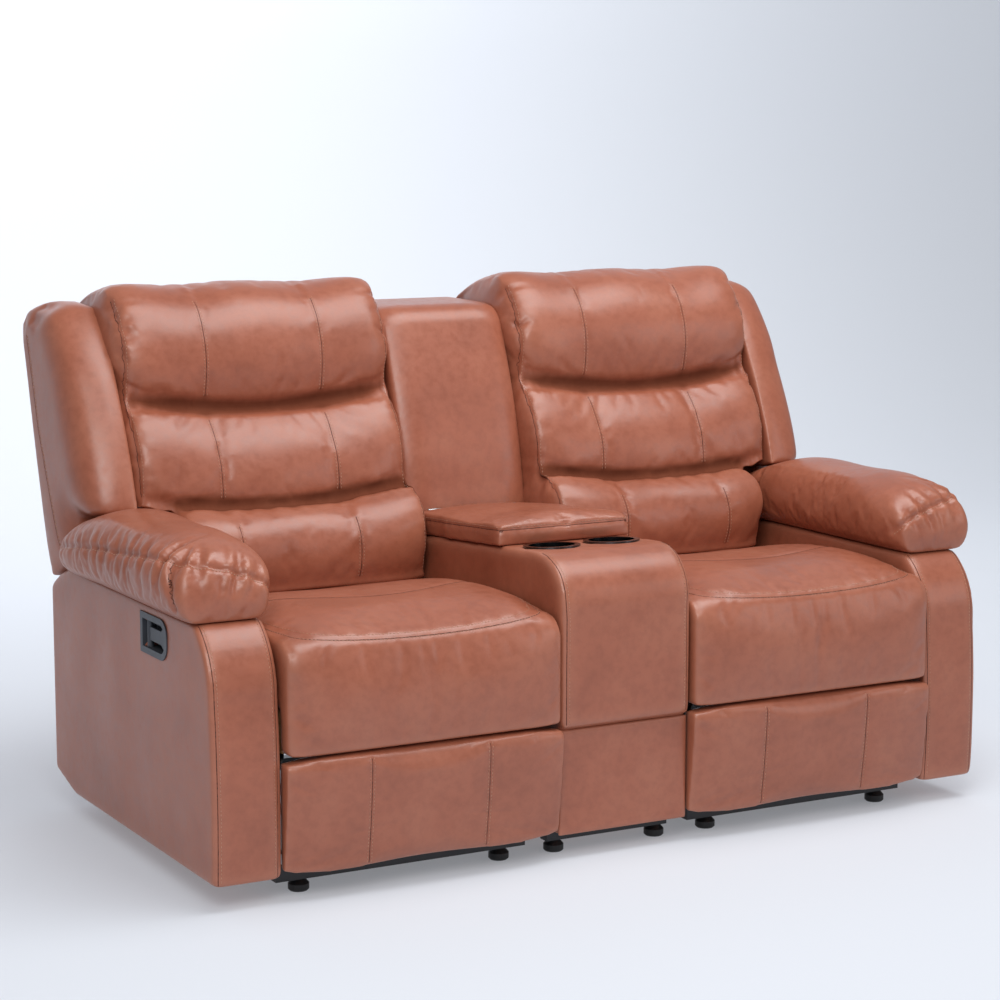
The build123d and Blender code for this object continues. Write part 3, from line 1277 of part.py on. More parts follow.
with BuildPart() as glides:
    glide_x = (-MECH_X - GLIDE_X, -MECH_X + GLIDE_X, -CONSOLE_GLIDE_X,
               CONSOLE_GLIDE_X, MECH_X - GLIDE_X, MECH_X + GLIDE_X)
    for bar_y in (BAR_FRONT + BAR_SECTION / 2, BAR_REAR - BAR_SECTION / 2):
        for x in glide_x:
            with BuildSketch(Plane(origin=(x, bar_y, 0), x_dir=(1, 0, 0), z_dir=(0, -1, 0))):
                with BuildLine():
                    Polyline(
                        (0, 0),
                        (GLIDE_RADIUS - 3, 0),
                        (GLIDE_RADIUS, 3),
                        (GLIDE_RADIUS, RAIL_BOTTOM * 0.6),
                        (GLIDE_RADIUS * 0.6, RAIL_BOTTOM),
                        (0, RAIL_BOTTOM),
                        close=True,
                    )
                make_face()
            revolve(axis=Axis((x, bar_y, 0), (0, 0, 1)))
save(glides.part, "glides")
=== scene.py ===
"""Upholstery, stitching and finishes of a reclining loveseat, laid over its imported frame."""

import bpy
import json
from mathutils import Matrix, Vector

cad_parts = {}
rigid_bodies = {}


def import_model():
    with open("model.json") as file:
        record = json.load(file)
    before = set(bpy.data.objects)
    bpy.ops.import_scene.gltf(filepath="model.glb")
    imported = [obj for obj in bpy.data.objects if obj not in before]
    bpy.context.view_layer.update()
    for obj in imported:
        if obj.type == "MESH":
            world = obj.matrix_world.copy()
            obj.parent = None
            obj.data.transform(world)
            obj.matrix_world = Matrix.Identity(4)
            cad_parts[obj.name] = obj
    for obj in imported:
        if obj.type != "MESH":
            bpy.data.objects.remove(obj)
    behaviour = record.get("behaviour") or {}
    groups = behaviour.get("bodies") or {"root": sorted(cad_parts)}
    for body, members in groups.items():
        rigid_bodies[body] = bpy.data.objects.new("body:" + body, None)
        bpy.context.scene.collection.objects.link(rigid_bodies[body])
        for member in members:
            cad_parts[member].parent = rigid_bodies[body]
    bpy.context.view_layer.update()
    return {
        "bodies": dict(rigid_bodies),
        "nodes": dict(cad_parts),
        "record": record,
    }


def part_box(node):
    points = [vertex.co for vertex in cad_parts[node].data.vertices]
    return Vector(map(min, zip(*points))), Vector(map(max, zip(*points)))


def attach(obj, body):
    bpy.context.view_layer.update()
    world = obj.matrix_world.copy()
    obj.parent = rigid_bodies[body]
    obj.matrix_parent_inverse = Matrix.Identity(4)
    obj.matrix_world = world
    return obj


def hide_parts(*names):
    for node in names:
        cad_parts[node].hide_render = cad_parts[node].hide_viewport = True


bl_info = {
    "name": "Reclining loveseat",
    "version": (1, 0, 0),
    "blender": (4, 5, 0),
    "location": "View3D > Sidebar > Loveseat",
    "description": "Dresses the packed frame of a reclining loveseat in padded leather",
    "category": "Object",
}

import json
import math

import bmesh
import bpy
import numpy as np
from mathutils import Matrix, Vector
from mathutils.bvhtree import BVHTree
from mathutils.kdtree import KDTree

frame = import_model()

FILL_FRAMES = 20  # frames that a cushion is filled for
PROUD_REACH = 12  # rounds of smoothing that make a point's surroundings
PROUD_BLUR = 7  # rounds of smoothing of how far a point stands proud, which gives the wear on ridges and the painted shade in creases
FAR = 1.0  # how far out the rays that lay seams start, in metres
FAR_SIDE = 1.2  # the same beside the arms
REARWARD = (0, 1, 0)
RIGHTWARD = (1, 0, 0)
UPWARD = (0, 0, 1)
DOWNWARD = (0, 0, -1)


def mm(value):
    """Millimetres as metres."""
    return value * 0.001


def linear(code):
    """An sRGB hex colour as linear red, green, blue and alpha."""
    parts = [int(code[i:i + 2], 16) / 255 for i in (1, 3, 5)]
    return [p / 12.92 if p <= 0.04045 else ((p + 0.055) / 1.055) ** 2.4 for p in parts] + [1.0]


def hex_prop(label, note, code):
    """A colour property whose default is written as sRGB hex."""
    return bpy.props.FloatVectorProperty(
        name=label, description=note, subtype="COLOR", size=4, min=0, max=1, default=linear(code))


def size_prop(label, note, value):
    """A length property in metres whose default is written in millimetres."""
    return bpy.props.FloatProperty(name=label, description=note, unit="LENGTH", default=mm(value))


class LoveseatFinish(bpy.types.PropertyGroup):
    """Colours of the finishes."""

    hide: hex_prop("Leather", "Body colour of the coated leather", "#9E5A42")
    # The dark leather colour also goes into the painted shade lines along the seams.
    hide_dark: hex_prop("Leather, dark", "Colour in its clouding and seams", "#7C412D")
    hide_light: hex_prop("Leather, light", "Colour where the coating is pulled thin", "#B1735A")
    thread: hex_prop("Thread", "Topstitching thread", "#C0927A")
    steel: hex_prop("Black steel", "Paint on the mechanism and rails", "#17171A")
    plastic: hex_prop("Handle plastic", "Moulded handle and its cup", "#3B3E44")
    wood: hex_prop("Plywood", "Frame boards", "#C39A6B")
    floor: hex_prop("Floor", "Studio floor and backdrop", "#C2C6CD")
    glow: hex_prop("Backdrop glow", "Light that the paper lets through", "#EBEFF6")


class LoveseatPadding(bpy.types.PropertyGroup):
    """How the cushions are filled and sewn."""

    voxel: size_prop("Mesh size", "Voxel size of a large cushion before it is filled", 7)
    fine_voxel: size_prop("Fine mesh size", "Voxel size of a small pad before it is filled", 5)
    pressure: bpy.props.FloatProperty(name="Pressure", description="Cloth pressure in a cushion", default=4.0)
    back_cap: size_prop("Back swell", "Most that the cover of a back may move", 24)
    seat_cap: size_prop("Seat swell", "Most that the cover of a seat may move", 12)
    pad_cap: size_prop("Pad swell", "Most that the cover of a small pad may move", 8)
    sag: size_prop("Crease sag", "How far a back's cross creases dip at the middle", 32)
    stitch: size_prop("Stitch", "Length of one topstitch", 5.2)
    pitch: size_prop("Stitch pitch", "Distance from one topstitch to the next", 7)
    thread: size_prop("Thread", "Radius of the topstitching thread, drawn thick enough to show", 0.6)
    row_gap: size_prop("Row gap", "Distance from a seam to each of its two rows of stitches", 4)
    # The seam is the half width of the painted shade line laid where two panels meet.
    seam: size_prop("Seam", "Half width of the dark line where two panels meet", 0.8)


class LoveseatStage(bpy.types.PropertyGroup):
    """The camera."""

    camera: bpy.props.FloatVectorProperty(
        name="Camera", description="Where the camera stands", subtype="TRANSLATION",
        default=(-2.4221, -4.4213, 1.3479))
    aim: bpy.props.FloatVectorProperty(
        name="Aim", description="Direction the camera looks in", subtype="DIRECTION",
        default=(0.4739, 0.8683, -0.1465))
    lens: bpy.props.FloatProperty(name="Lens", description="Focal length on a 36 mm sensor", default=92.43)


# Mesh helpers


def per_point(obj, kind):
    """A vector of each point of an object, as an array."""
    flat = np.empty(len(obj.data.vertices) * 3, np.float32)
    obj.data.vertices.foreach_get(kind, flat)
    return flat.reshape(-1, 3).astype(float)


def coords(obj):
    """An object's points."""
    return per_point(obj, "co")


def normals(obj):
    """An object's point normals."""
    return per_point(obj, "normal")


def set_coords(obj, points):
    """Move an object's points."""
    obj.data.vertices.foreach_set("co", points.astype(np.float32).ravel())
    obj.data.update()


def neighbour_mean(obj, values):
    """The mean of each point's neighbours."""
    flat = np.empty(len(obj.data.edges) * 2, np.int32)
    obj.data.edges.foreach_get("vertices", flat)
    starts, ends = flat.reshape(-1, 2).T
    count = np.bincount(flat, minlength=len(values)).clip(1)
    mean = np.empty_like(values)
    for axis in range(values.shape[1]):
        total = np.bincount(starts, values[ends, axis], len(values))
        total += np.bincount(ends, values[starts, axis], len(values))
        mean[:, axis] = total / count
    return mean


def smoothed(obj, values, times, keep=None):
    """Points, or other values, relaxed towards their neighbours, less where keep is near 1."""
    share = 0.5 if keep is None else 0.5 * (1 - keep[:, None])
    for _ in range(times):
        values = values + (neighbour_mean(obj, values) - values) * share
    return values


def relax(obj, times):
    """Smooth an object's points."""
    set_coords(obj, smoothed(obj, coords(obj), times))


def step(low, high, value):
    """A smooth step from 0 at low to 1 at high."""
    t = np.clip((value - low) / (high - low), 0, 1)
    return t * t * (3 - 2 * t)


def rise(value, low, high):
    """A smooth step from 0 to 1 between two places in millimetres."""
    return step(mm(low), mm(high), value)


def fall(value, low, high):
    """A smooth step from 1 to 0 between two places in millimetres."""
    return 1 - rise(value, low, high)


def bell(value, width):
    """A bell curve of height 1."""
    return np.exp(-(value / width) ** 2)


def hump(value, width, place=0):
    """A bell curve of height 1, with its width and place in millimetres."""
    return bell(value - mm(place), mm(width))


def bow(node, x):
    """How far a place is from the middle of a node, squared: 1 at the node's ends."""
    low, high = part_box(node)
    middle = (low.x + high.x) / 2
    half = (high.x - low.x) / 2
    return ((x - middle) / half) ** 2


def ripple(obj, length, seed, height):
    """Smooth uneven ripples from a few fixed sines, with their length and height in millimetres."""
    points = coords(obj)
    set_coords(obj, points + normals(obj) * (waves(points, length, seed) * mm(height))[:, None])


def waves(points, length, seed):
    """Smooth uneven waves between about -1 and 1, from a few fixed sines; the length is in millimetres."""
    draw = np.random.default_rng(seed)
    total = np.zeros(len(points))
    for _ in range(7):
        way = draw.normal(size=3)
        way /= np.linalg.norm(way)
        reach = 2 * math.pi / (mm(length) * draw.uniform(0.7, 1.5))
        total += np.sin(points @ way * reach + draw.uniform(0, 6.28))
    return total / 3.5


def bake(obj):
    """Turn an object's modifiers into its mesh."""
    graph = bpy.context.evaluated_depsgraph_get()
    mesh = bpy.data.meshes.new_from_object(obj.evaluated_get(graph), depsgraph=graph)
    old = obj.data
    obj.modifiers.clear()
    obj.data = mesh
    bpy.data.meshes.remove(old)


def add_object(bm, name):
    """A new object from a bmesh, with its faces pointing out."""
    bmesh.ops.recalc_face_normals(bm, faces=bm.faces)
    mesh = bpy.data.meshes.new(name)
    bm.to_mesh(mesh)
    bm.free()
    obj = bpy.data.objects.new(name, mesh)
    bpy.context.scene.collection.objects.link(obj)
    return obj


def node_copy(*nodes):
    """A bmesh of some CAD nodes with their loose triangles joined."""
    bm = bmesh.new()
    for node in nodes:
        bm.from_mesh(frame["nodes"][node].data)
    bmesh.ops.remove_doubles(bm, verts=bm.verts, dist=mm(0.02))
    return bm


def remesh(obj, voxel, rounds):
    """Even quads over an object, relaxed a little."""
    mod = obj.modifiers.new("even", "REMESH")
    mod.mode = "VOXEL"
    mod.voxel_size = voxel
    bake(obj)
    relax(obj, rounds)


def soft_copy(node, name, voxel, rounds=4):
    """A cushion's starting form: a CAD solid in even quads."""
    obj = add_object(node_copy(node), name)
    remesh(obj, voxel, rounds)
    return obj


def inflate(obj, sewn, pressure, slack, cap):
    """Fill a cushion with cloth pressure; sewn is 1 where the cover can't move, slack is spare cloth."""
    start = coords(obj)
    group = obj.vertex_groups.new(name="sewn")
    for index in np.nonzero(sewn > 0.02)[0]:
        group.add([int(index)], float(min(sewn[index], 1)), "REPLACE")
    mod = obj.modifiers.new("filling", "CLOTH")
    cloth = mod.settings
    cloth.quality = 4
    cloth.mass = 0.25
    cloth.tension_stiffness = 14
    cloth.compression_stiffness = 10
    cloth.shear_stiffness = 8
    cloth.bending_stiffness = 0.6
    cloth.air_damping = 3
    cloth.shrink_min = -slack
    cloth.use_pressure = True
    cloth.uniform_pressure_force = pressure
    cloth.effector_weights.gravity = 0
    cloth.vertex_group_mass = group.name
    mod.collision_settings.use_collision = False
    mod.collision_settings.use_self_collision = False
    scene = bpy.context.scene
    for number in range(1, FILL_FRAMES + 1):
        scene.frame_set(number)
    graph = bpy.context.evaluated_depsgraph_get()
    shift = coords(obj.evaluated_get(graph)) - start
    obj.modifiers.clear()
    obj.vertex_groups.clear()
    scene.frame_set(1)
    reach = np.linalg.norm(shift, axis=1, keepdims=True).clip(1e-9)
    shift *= np.minimum(1, cap / reach)
    set_coords(obj, start + shift)


def shrink(obj, sewn, depth):
    """Draw a cushion's cover in where it is free, so that filling it brings it out to its size."""
    free = 1 - np.clip(sewn, 0, 1)
    set_coords(obj, coords(obj) - normals(obj) * (mm(depth) * free)[:, None])


def path_distance(points, path):
    """Distance of each point from a path of close points, and where along the path it is."""
    tree = KDTree(len(path))
    for index, place in enumerate(path):
        tree.insert(place, index)
    tree.balance()
    found = [tree.find(p) for p in points]
    return np.array([f[2] for f in found]), np.array([f[1] for f in found])


def draw_in(obj, paths, width, depth):
    """Press seams into a cushion along paths."""
    points = coords(obj)
    out = normals(obj)
    for path in paths:
        away, _ = path_distance(points, path)
        points -= out * (mm(depth) * hump(away, width))[:, None]
    set_coords(obj, points)


def snap(obj, marks, count):
    """A close path through marks in millimetres, laid on the nearest surface of an object."""
    tree = surface(obj)
    ends = [mm(Vector(mark)) for mark in marks]
    path = []
    for k in range(len(ends) - 1):
        before = ends[max(k - 1, 0)]
        after = ends[min(k + 2, len(ends) - 1)]
        for t in np.linspace(0, 1, count, endpoint=False):
            path.append(bend(before, ends[k], ends[k + 1], after, t))
    path.append(ends[-1])
    return [tree.find_nearest(point)[0] for point in path]


def bend(before, a, b, after, t):
    """A point on a smooth curve from a to b."""
    return 0.5 * (2 * a + (b - before) * t + (2 * before - 5 * a + 4 * b - after) * t * t
                  + (3 * a - before - 3 * b + after) * t ** 3)


def gather(obj, path, every, depth, reach, seed, focus=None, spread=1000):
    """Uneven pleats across a path, deepest near a focus point on it if one is given."""
    every, depth, reach, spread = (mm(size) for size in (every, depth, reach, spread))
    points = coords(obj)
    away, index = path_distance(points, path)
    lengths = np.cumsum([0] + [(b - a).length for a, b in zip(path, path[1:])])
    along = lengths[index]
    draw = np.random.default_rng(seed)
    fold = np.zeros(len(points))
    spot = every / 2
    while spot < lengths[-1]:
        place = path[int(np.searchsorted(lengths, spot))]
        near = 1.0 if focus is None else math.exp(-((place - focus).length / spread) ** 2)
        if near > 0.05:
            size = near * draw.uniform(0.55, 1.15)
            wide = every * draw.uniform(0.2, 0.34)
            fold += depth * size * bell(along - spot, wide) * bell(away, reach * draw.uniform(0.6, 1.3))
            fold -= 0.4 * depth * size * bell(along - spot - 2 * wide, wide) * bell(away, reach * 0.8)
        spot += every * draw.uniform(0.7, 1.4)
    set_coords(obj, points - normals(obj) * fold[:, None])


def store_wear_and_shade(obj):
    """Keep how far each point stands proud of its surroundings, 1 for 3 mm, for the leather's colour: lighter
    wear on ridges, and painted shade in creases and folds.
    """
    points = coords(obj)
    flat = smoothed(obj, points, PROUD_REACH)
    proud = np.einsum("ij,ij->i", points - flat, normals(obj)) / mm(3)
    proud = smoothed(obj, proud[:, None], PROUD_BLUR)[:, 0]
    layer = obj.data.attributes.new("wear_and_shade", "FLOAT", "POINT")
    layer.data.foreach_set("value", np.clip(proud, -1, 1).astype(np.float32))


def shade(obj, level=1):
    """Smooth shading, with one subdivision where asked."""
    obj.data.polygons.foreach_set("use_smooth", [True] * len(obj.data.polygons))
    if level:
        mod = obj.modifiers.new("soft", "SUBSURF")
        mod.levels = level
        mod.render_levels = level


def surface(obj):
    """A tree of an object's finished surface, to lay seams on."""
    graph = bpy.context.evaluated_depsgraph_get()
    return BVHTree.FromObject(obj, graph)


def complete(obj, level=1):
    """Colour and smooth a shaped piece, and return its surface."""
    store_wear_and_shade(obj)
    shade(obj, level)
    return surface(obj)


def mirrored(obj, name):
    """The same piece on the other half."""
    copy = obj.copy()
    copy.data = obj.data.copy()
    copy.data.transform(Matrix.Scale(-1, 4, (1, 0, 0)))
    copy.data.flip_normals()
    copy.name = name
    bpy.context.scene.collection.objects.link(copy)
    return copy


def hang(obj, body, stands_for=(), material="coated_leather"):
    """Give a finished piece its material, and hang it on a body."""
    obj.data.materials.clear()
    obj.data.materials.append(bpy.data.materials[material])
    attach(obj, body)
    if stands_for:
        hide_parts(*stands_for)


def hang_pair(obj, part, body, stands_for=(), material="coated_leather"):
    """Hang a left piece and its mirror image on the two halves' bodies."""
    obj.name = f"left_{part}"
    pieces = {"left": obj, "right": mirrored(obj, f"right_{part}")}
    for side, piece in pieces.items():
        carrier = body if body in frame["bodies"] else f"{side}_{body}"
        hang(piece, carrier, [f"{side}_{node}" for node in stands_for], material)


# Seams, stitches, and the painted shade lines along the seams


def lay(tree, points, way):
    """Guide points dropped onto a surface, each with its normal; points that miss are left out."""
    found = []
    for point in points:
        place, normal, _, _ = tree.ray_cast(Vector(point), Vector(way))
        if place is not None:
            found.append((place, normal))
    return found


def laid(tree, path, shift=(0, 0, 0)):
    """A path moved by a shift, and laid on the nearest surface."""
    return [tree.find_nearest(p + Vector(shift))[:2] for p in path]


def double_rows(tree, guide, aside, way, gap):
    """Two rows of surface points, one on each side of a guide."""
    return [lay(tree, [Vector(p) + Vector(aside) * s * gap for p in guide], way) for s in (-1, 1)]


def stitched_column(tree, x, heights, gap):
    """Two rows of stitches up a front, and the seam between them, as a path for its painted shade line."""
    guide = [Vector((x, -FAR, z)) for z in heights]
    return double_rows(tree, guide, RIGHTWARD, REARWARD, gap), lay(tree, guide, REARWARD)


def stitches(name, rows, stitch, pitch, thread):
    """One mesh of topstitches along rows of surface points."""
    bm = bmesh.new()
    for row in rows:
        spent = 0.0
        due = pitch / 2
        for (a, normal), (b, _) in zip(row, row[1:]):
            span = (b - a).length
            # A long jump is where the guide missed the surface
            if span < 1e-6 or span > 6 * pitch:
                continue
            along = (b - a) / span
            while due <= spent + span:
                place = a + along * (due - spent)
                across = normal.cross(along).normalized()
                up = along.cross(across)
                turn = Matrix((along, across, up)).transposed().to_4x4()
                size = Matrix.Diagonal((stitch / 2, thread, thread, 1))
                spot = Matrix.Translation(place + up * thread * 0.35)
                bmesh.ops.create_uvsphere(bm, u_segments=6, v_segments=4, radius=1, matrix=spot @ turn @ size)
                due += pitch
            spent += span
    obj = add_object(bm, name)
    shade(obj, 0)
    return obj


def seam_shade_line(name, rows, width):
    """One mesh of thin lines of painted shade where panels of leather meet, along rows of surface points."""
    bm = bmesh.new()
    for row in rows:
        rings = []
        for (a, normal), (b, _) in zip(row, row[1:]):
            if (b - a).length < 1e-6:
                continue
            across = normal.cross(b - a).normalized() * width
            up = normal.normalized() * width
            rings.append([bm.verts.new(a + shift) for shift in (across, up * 0.6, -across, -up)])
        for one, two in zip(rings, rings[1:]):
            for k in range(4):
                bm.faces.new((one[k], one[k - 1], two[k - 1], two[k]))
        bm.faces.new(rings[0])
        bm.faces.new(rings[-1][::-1])
    obj = add_object(bm, name)
    shade(obj, 0)
    return obj


def sew(part, body, rows, lines, paired=True, thick=1.0):
    """Topstitch some rows and lay painted shade lines along the seams between panels, on one body or on both
    halves.
    """
    pad = bpy.context.scene.loveseat_padding
    thread = stitches(f"{part}_stitching", rows, pad.stitch, pad.pitch, pad.thread * thick)
    edges = seam_shade_line(f"{part}_seams", lines, pad.seam)
    for obj, label, material in ((thread, "stitching", "stitch_thread"), (edges, "seams", "seam_edge")):
        if paired:
            hang_pair(obj, f"{part}_{label}", body, material=material)
        else:
            hang(obj, body, material=material)


# Leather with painted shade in its creases, thread, painted seam shade, steel and the other finishes


def set_inputs(tree, node, **inputs):
    """Set a node's inputs, and link those that are other nodes' outputs; i0 is input number 0."""
    for key, value in inputs.items():
        name = key.replace("_", " ")
        socket = node.inputs[int(key[1:])] if key[1:].isdigit() else node.inputs[name]
        if isinstance(value, bpy.types.NodeSocket):
            tree.links.new(value, socket)
        else:
            socket.default_value = value


def add_node(tree, kind, settings=None, **inputs):
    """Add a node with some settings and inputs."""
    node = tree.nodes.new(kind)
    for key, value in (settings or {}).items():
        setattr(node, key, value)
    set_inputs(tree, node, **inputs)
    return node


def new_material(name):
    """A node material: its tree, its shader and the piece's own coordinates."""
    material = bpy.data.materials.new(name)
    material.use_nodes = True
    tree = material.node_tree
    place = add_node(tree, "ShaderNodeTexCoord").outputs["Object"]
    return tree, tree.nodes["Principled BSDF"], place


def per_mm(size):
    """Texture scale whose features are about a size in millimetres."""
    return 1000 / size


def noise(tree, place, size, detail, roughness=0.5):
    """Cloudy values whose features are about a size in millimetres."""
    node = add_node(tree, "ShaderNodeTexNoise",
                    Vector=place, Scale=per_mm(size), Detail=detail, Roughness=roughness)
    return node.outputs["Fac"]


def ramp(tree, source, stops):
    """A colour ramp over a source, with stops of position and colour."""
    node = add_node(tree, "ShaderNodeValToRGB", Fac=source)
    band = node.color_ramp
    while len(band.elements) < len(stops):
        band.elements.new(0.5)
    for element, (place, colour) in zip(band.elements, stops):
        element.position = place
        element.color = colour
    return node.outputs["Color"]


def remap(tree, value, target, source=(0.0, 1.0)):
    """A value carried from one range to another, and held at its ends."""
    node = add_node(tree, "ShaderNodeMapRange", Value=value,
                    From_Min=source[0], From_Max=source[1], To_Min=target[0], To_Max=target[1])
    return node.outputs["Result"]


def mix(tree, share, first, second, blend="MIX"):
    """A share of a second colour over a first."""
    node = add_node(tree, "ShaderNodeMix", {"data_type": "RGBA", "blend_type": blend},
                    i0=share, i6=first, i7=second)
    return node.outputs[2]


def relief(tree, height, strength, depth, **under):
    """Normals that follow a height, with its depth in millimetres."""
    node = add_node(tree, "ShaderNodeBump", Height=height, Strength=strength, Distance=mm(depth), **under)
    return node.outputs["Normal"]


RUBBED = (0.1, 0.9)  # wear on ridges, where the coating is pulled thin
CREASE_SHADE = (-0.15, -1.0)  # painted shade in folds and creases, where less light falls
DULLED = (-0.15, -0.8)  # wear in folds, where the wax is gone


def make_leather(finish):
    """Coated split leather, embossed and waxed: clouded colour, lighter wear on ridges, painted shade in
    creases, fine pebble, satin gloss that breaks up.
    """
    tree, shader, place = new_material("coated_leather")
    wear_and_shade = add_node(tree, "ShaderNodeAttribute", {"attribute_name": "wear_and_shade"}).outputs["Fac"]
    cloud = noise(tree, place, 130, 3.0, 0.6)
    fleck = noise(tree, place, 16, 4.0, 0.65)
    body = ramp(tree, cloud, [(0.3, finish.hide_dark), (0.5, finish.hide), (0.75, finish.hide_light)])
    soft = mix(tree, 0.72, body, finish.hide)
    mottle = ramp(tree, fleck, [(0.36, linear("#D8D2CF")), (0.58, linear("#FFFFFF"))])
    tint = mix(tree, 0.35, soft, mottle, "MULTIPLY")
    worn = mix(tree, remap(tree, wear_and_shade, (0.0, 0.45), RUBBED), tint, finish.hide_light)
    # Painted shade: folds and creases darken towards a deep brown, by how far they lie below their
    # surroundings.
    final = mix(tree, remap(tree, wear_and_shade, (0.0, 0.7), CREASE_SHADE), worn, linear("#4A2417"))
    gloss = remap(tree, fleck, (0.3, 0.42), (0.3, 0.7))
    dull = remap(tree, wear_and_shade, (0.0, 0.9), DULLED)
    rough = add_node(tree, "ShaderNodeMath", {"operation": "MAXIMUM"}, i0=gloss, i1=dull).outputs["Value"]
    shine = remap(tree, wear_and_shade, (0.62, 0.05), DULLED)
    # The pebble is about 1 mm on the hide, and is drawn at 2.4 mm so that it shows
    pebble = add_node(tree, "ShaderNodeTexVoronoi", {"feature": "SMOOTH_F1"},
                      Vector=place, Scale=per_mm(2.4), Smoothness=0.6).outputs["Distance"]
    grain = relief(tree, pebble, 0.08, 0.5)
    crumple = noise(tree, place, 45, 5.0, 0.55)
    set_inputs(tree, shader, Base_Color=final, Roughness=rough, Specular_IOR_Level=shine, IOR=1.5,
               Normal=relief(tree, crumple, 0.06, 5, Normal=grain))


def make_thread(finish):
    """Bonded polyester thread: dull, in light and dark plies."""
    tree, shader, place = new_material("stitch_thread")
    colour = ramp(tree, noise(tree, place, 1.2, 2.0), [(0.3, linear("#8A5640")), (0.6, finish.thread)])
    set_inputs(tree, shader, Base_Color=colour, Roughness=0.55)


def make_seam_shade(finish):
    """Painted shade in the crevice of a seam: a dull dark line where two panels of leather meet."""
    tree, shader, place = new_material("seam_edge")
    colour = ramp(tree, noise(tree, place, 4, 3.0), [(0.35, linear("#3B1B11")), (0.7, finish.hide_dark)])
    set_inputs(tree, shader, Base_Color=colour, Roughness=0.8)


def make_steel(finish):
    """Stamped mild steel under black enamel: smooth, with a faint orange peel."""
    tree, shader, place = new_material("black_enamel")
    dust = noise(tree, place, 60, 4.0)
    colour = ramp(tree, dust, [(0.35, finish.steel), (0.75, linear("#26262A"))])
    peel = relief(tree, noise(tree, place, 3, 2.0), 0.1, 0.4)
    set_inputs(tree, shader, Base_Color=colour, Roughness=remap(tree, dust, (0.28, 0.5)), Normal=peel)


def make_zinc():
    """Drawn wire and rolled strip, zinc plated: dull grey metal, faintly clouded."""
    tree, shader, place = new_material("zinc_plated_steel")
    colour = ramp(tree, noise(tree, place, 9, 3.0), [(0.3, linear("#8C8F92")), (0.7, linear("#B9BCBE"))])
    set_inputs(tree, shader, Base_Color=colour, Metallic=1.0, Roughness=0.38)


def make_plastic(name, base, shine, grit):
    """Injection-moulded ABS with a spark-eroded texture."""
    tree, shader, place = new_material(name)
    spark = noise(tree, place, grit, 2.0)
    pale = [c * 1.35 for c in base[:3]] + [1.0]
    tone = ramp(tree, noise(tree, place, 40, 3.0), [(0.3, base), (0.8, pale)])
    set_inputs(tree, shader, Base_Color=tone, Roughness=remap(tree, spark, (shine, shine + 0.16)),
               Normal=relief(tree, spark, 0.15, 0.3))


def make_plywood(finish):
    """Rotary-cut plywood left raw: long figure, pale and dull."""
    tree, shader, place = new_material("raw_plywood")
    run = add_node(tree, "ShaderNodeMapping", Vector=place, Scale=(9.0, 1.0, 9.0)).outputs["Vector"]
    figure = noise(tree, run, 160, 5.0)
    colour = ramp(tree, figure, [(0.35, linear("#A87C4E")), (0.62, finish.wood)])
    set_inputs(tree, shader, Base_Color=colour, Roughness=0.7, Normal=relief(tree, figure, 0.2, 0.6))


def make_cup_metal():
    """Spun stainless steel, dark plated: faintly clouded, with a mirror sheen."""
    tree, shader, place = new_material("dark_plated_steel")
    colour = ramp(tree, noise(tree, place, 5, 3.0), [(0.3, linear("#4A4C50")), (0.7, linear("#63666B"))])
    set_inputs(tree, shader, Base_Color=colour, Metallic=1.0, Roughness=0.2)


FINISH_OF_SLOT = {
    "leather": "coated_leather",
    "plywood": "raw_plywood",
    "black_steel": "black_enamel",
    "spring_steel": "zinc_plated_steel",
    "handle_plastic": "handle_abs",
    "black_plastic": "black_abs",
    "cup_metal": "dark_plated_steel",
}


class LOVESEAT_OT_finishes(bpy.types.Operator):
    """Make the materials and give each frame piece its own"""

    bl_idname = "loveseat.finishes"
    bl_label = "Finishes"

    def execute(self, context):
        finish = context.scene.loveseat_finish
        for make in (make_leather, make_thread, make_seam_shade, make_steel, make_plywood):
            make(finish)
        make_zinc()
        make_plastic("handle_abs", list(finish.plastic), shine=0.38, grit=0.8)
        make_plastic("black_abs", linear("#141416"), shine=0.4, grit=1.0)
        make_cup_metal()
        for sub in frame["record"]["subparts"]:
            node = frame["nodes"][sub["node"]]
            node.data.materials.clear()
            node.data.materials.append(bpy.data.materials[FINISH_OF_SLOT[sub["material_slot"]]])
        return {"FINISHED"}


# Backs, with places in millimetres; a pair is where a change begins and where it is complete

CREASES = ((116, 612), (200, 800))  # rearward and up, at the mean height of each cross crease
CREASE_WIDTH = 11
CREASE_DEPTH = 17
STITCH_COLUMNS = (303, 549)  # out from the middle of the sofa
COLUMN_RUNS = ((470, 588), (630, 778), (820, 1000))
SEAM_INSET = 9  # of the seams along the edges of backs, arms and console
SIDE_FOOT_OUTER = 640  # where the side seams start, at the outer and the inner end
SIDE_FOOT_INNER = 470
SIDE_TOP = 1005
SAG_FOOT = (470, 580)  # the sag of the creases fades in here
SAG_HEAD = (850, 1000)  # and out here
SAG_END = (640, 662)  # and out beside the wing's chin
SAG_END_TOP = (612, 650)
LUMBAR_DROP = 8  # the lumbar roll's foot hangs down to the seat
LUMBAR_FOOT = (458, 500)
LUMBAR_FRONT = 110
END_FILL = 8  # the lumbar roll's outer end fills the space under the wing
END_RUN = (600, 655)
END_FOOT = (500, 560)
END_TOP = (606, 622)
CORNER_DROP = 11  # its upper outer corner is drawn down
CORNER_OUT = 672
CORNER_WIDE = 24
CORNER_TALL = 16
CORNER_FRONT = 230
HEAD_LIFT = 8  # the head roll stands up
HEAD_RUN = (880, 1010)
COLUMN_FADE = (950, 1005)  # the columns' grooves fade out on the head roll


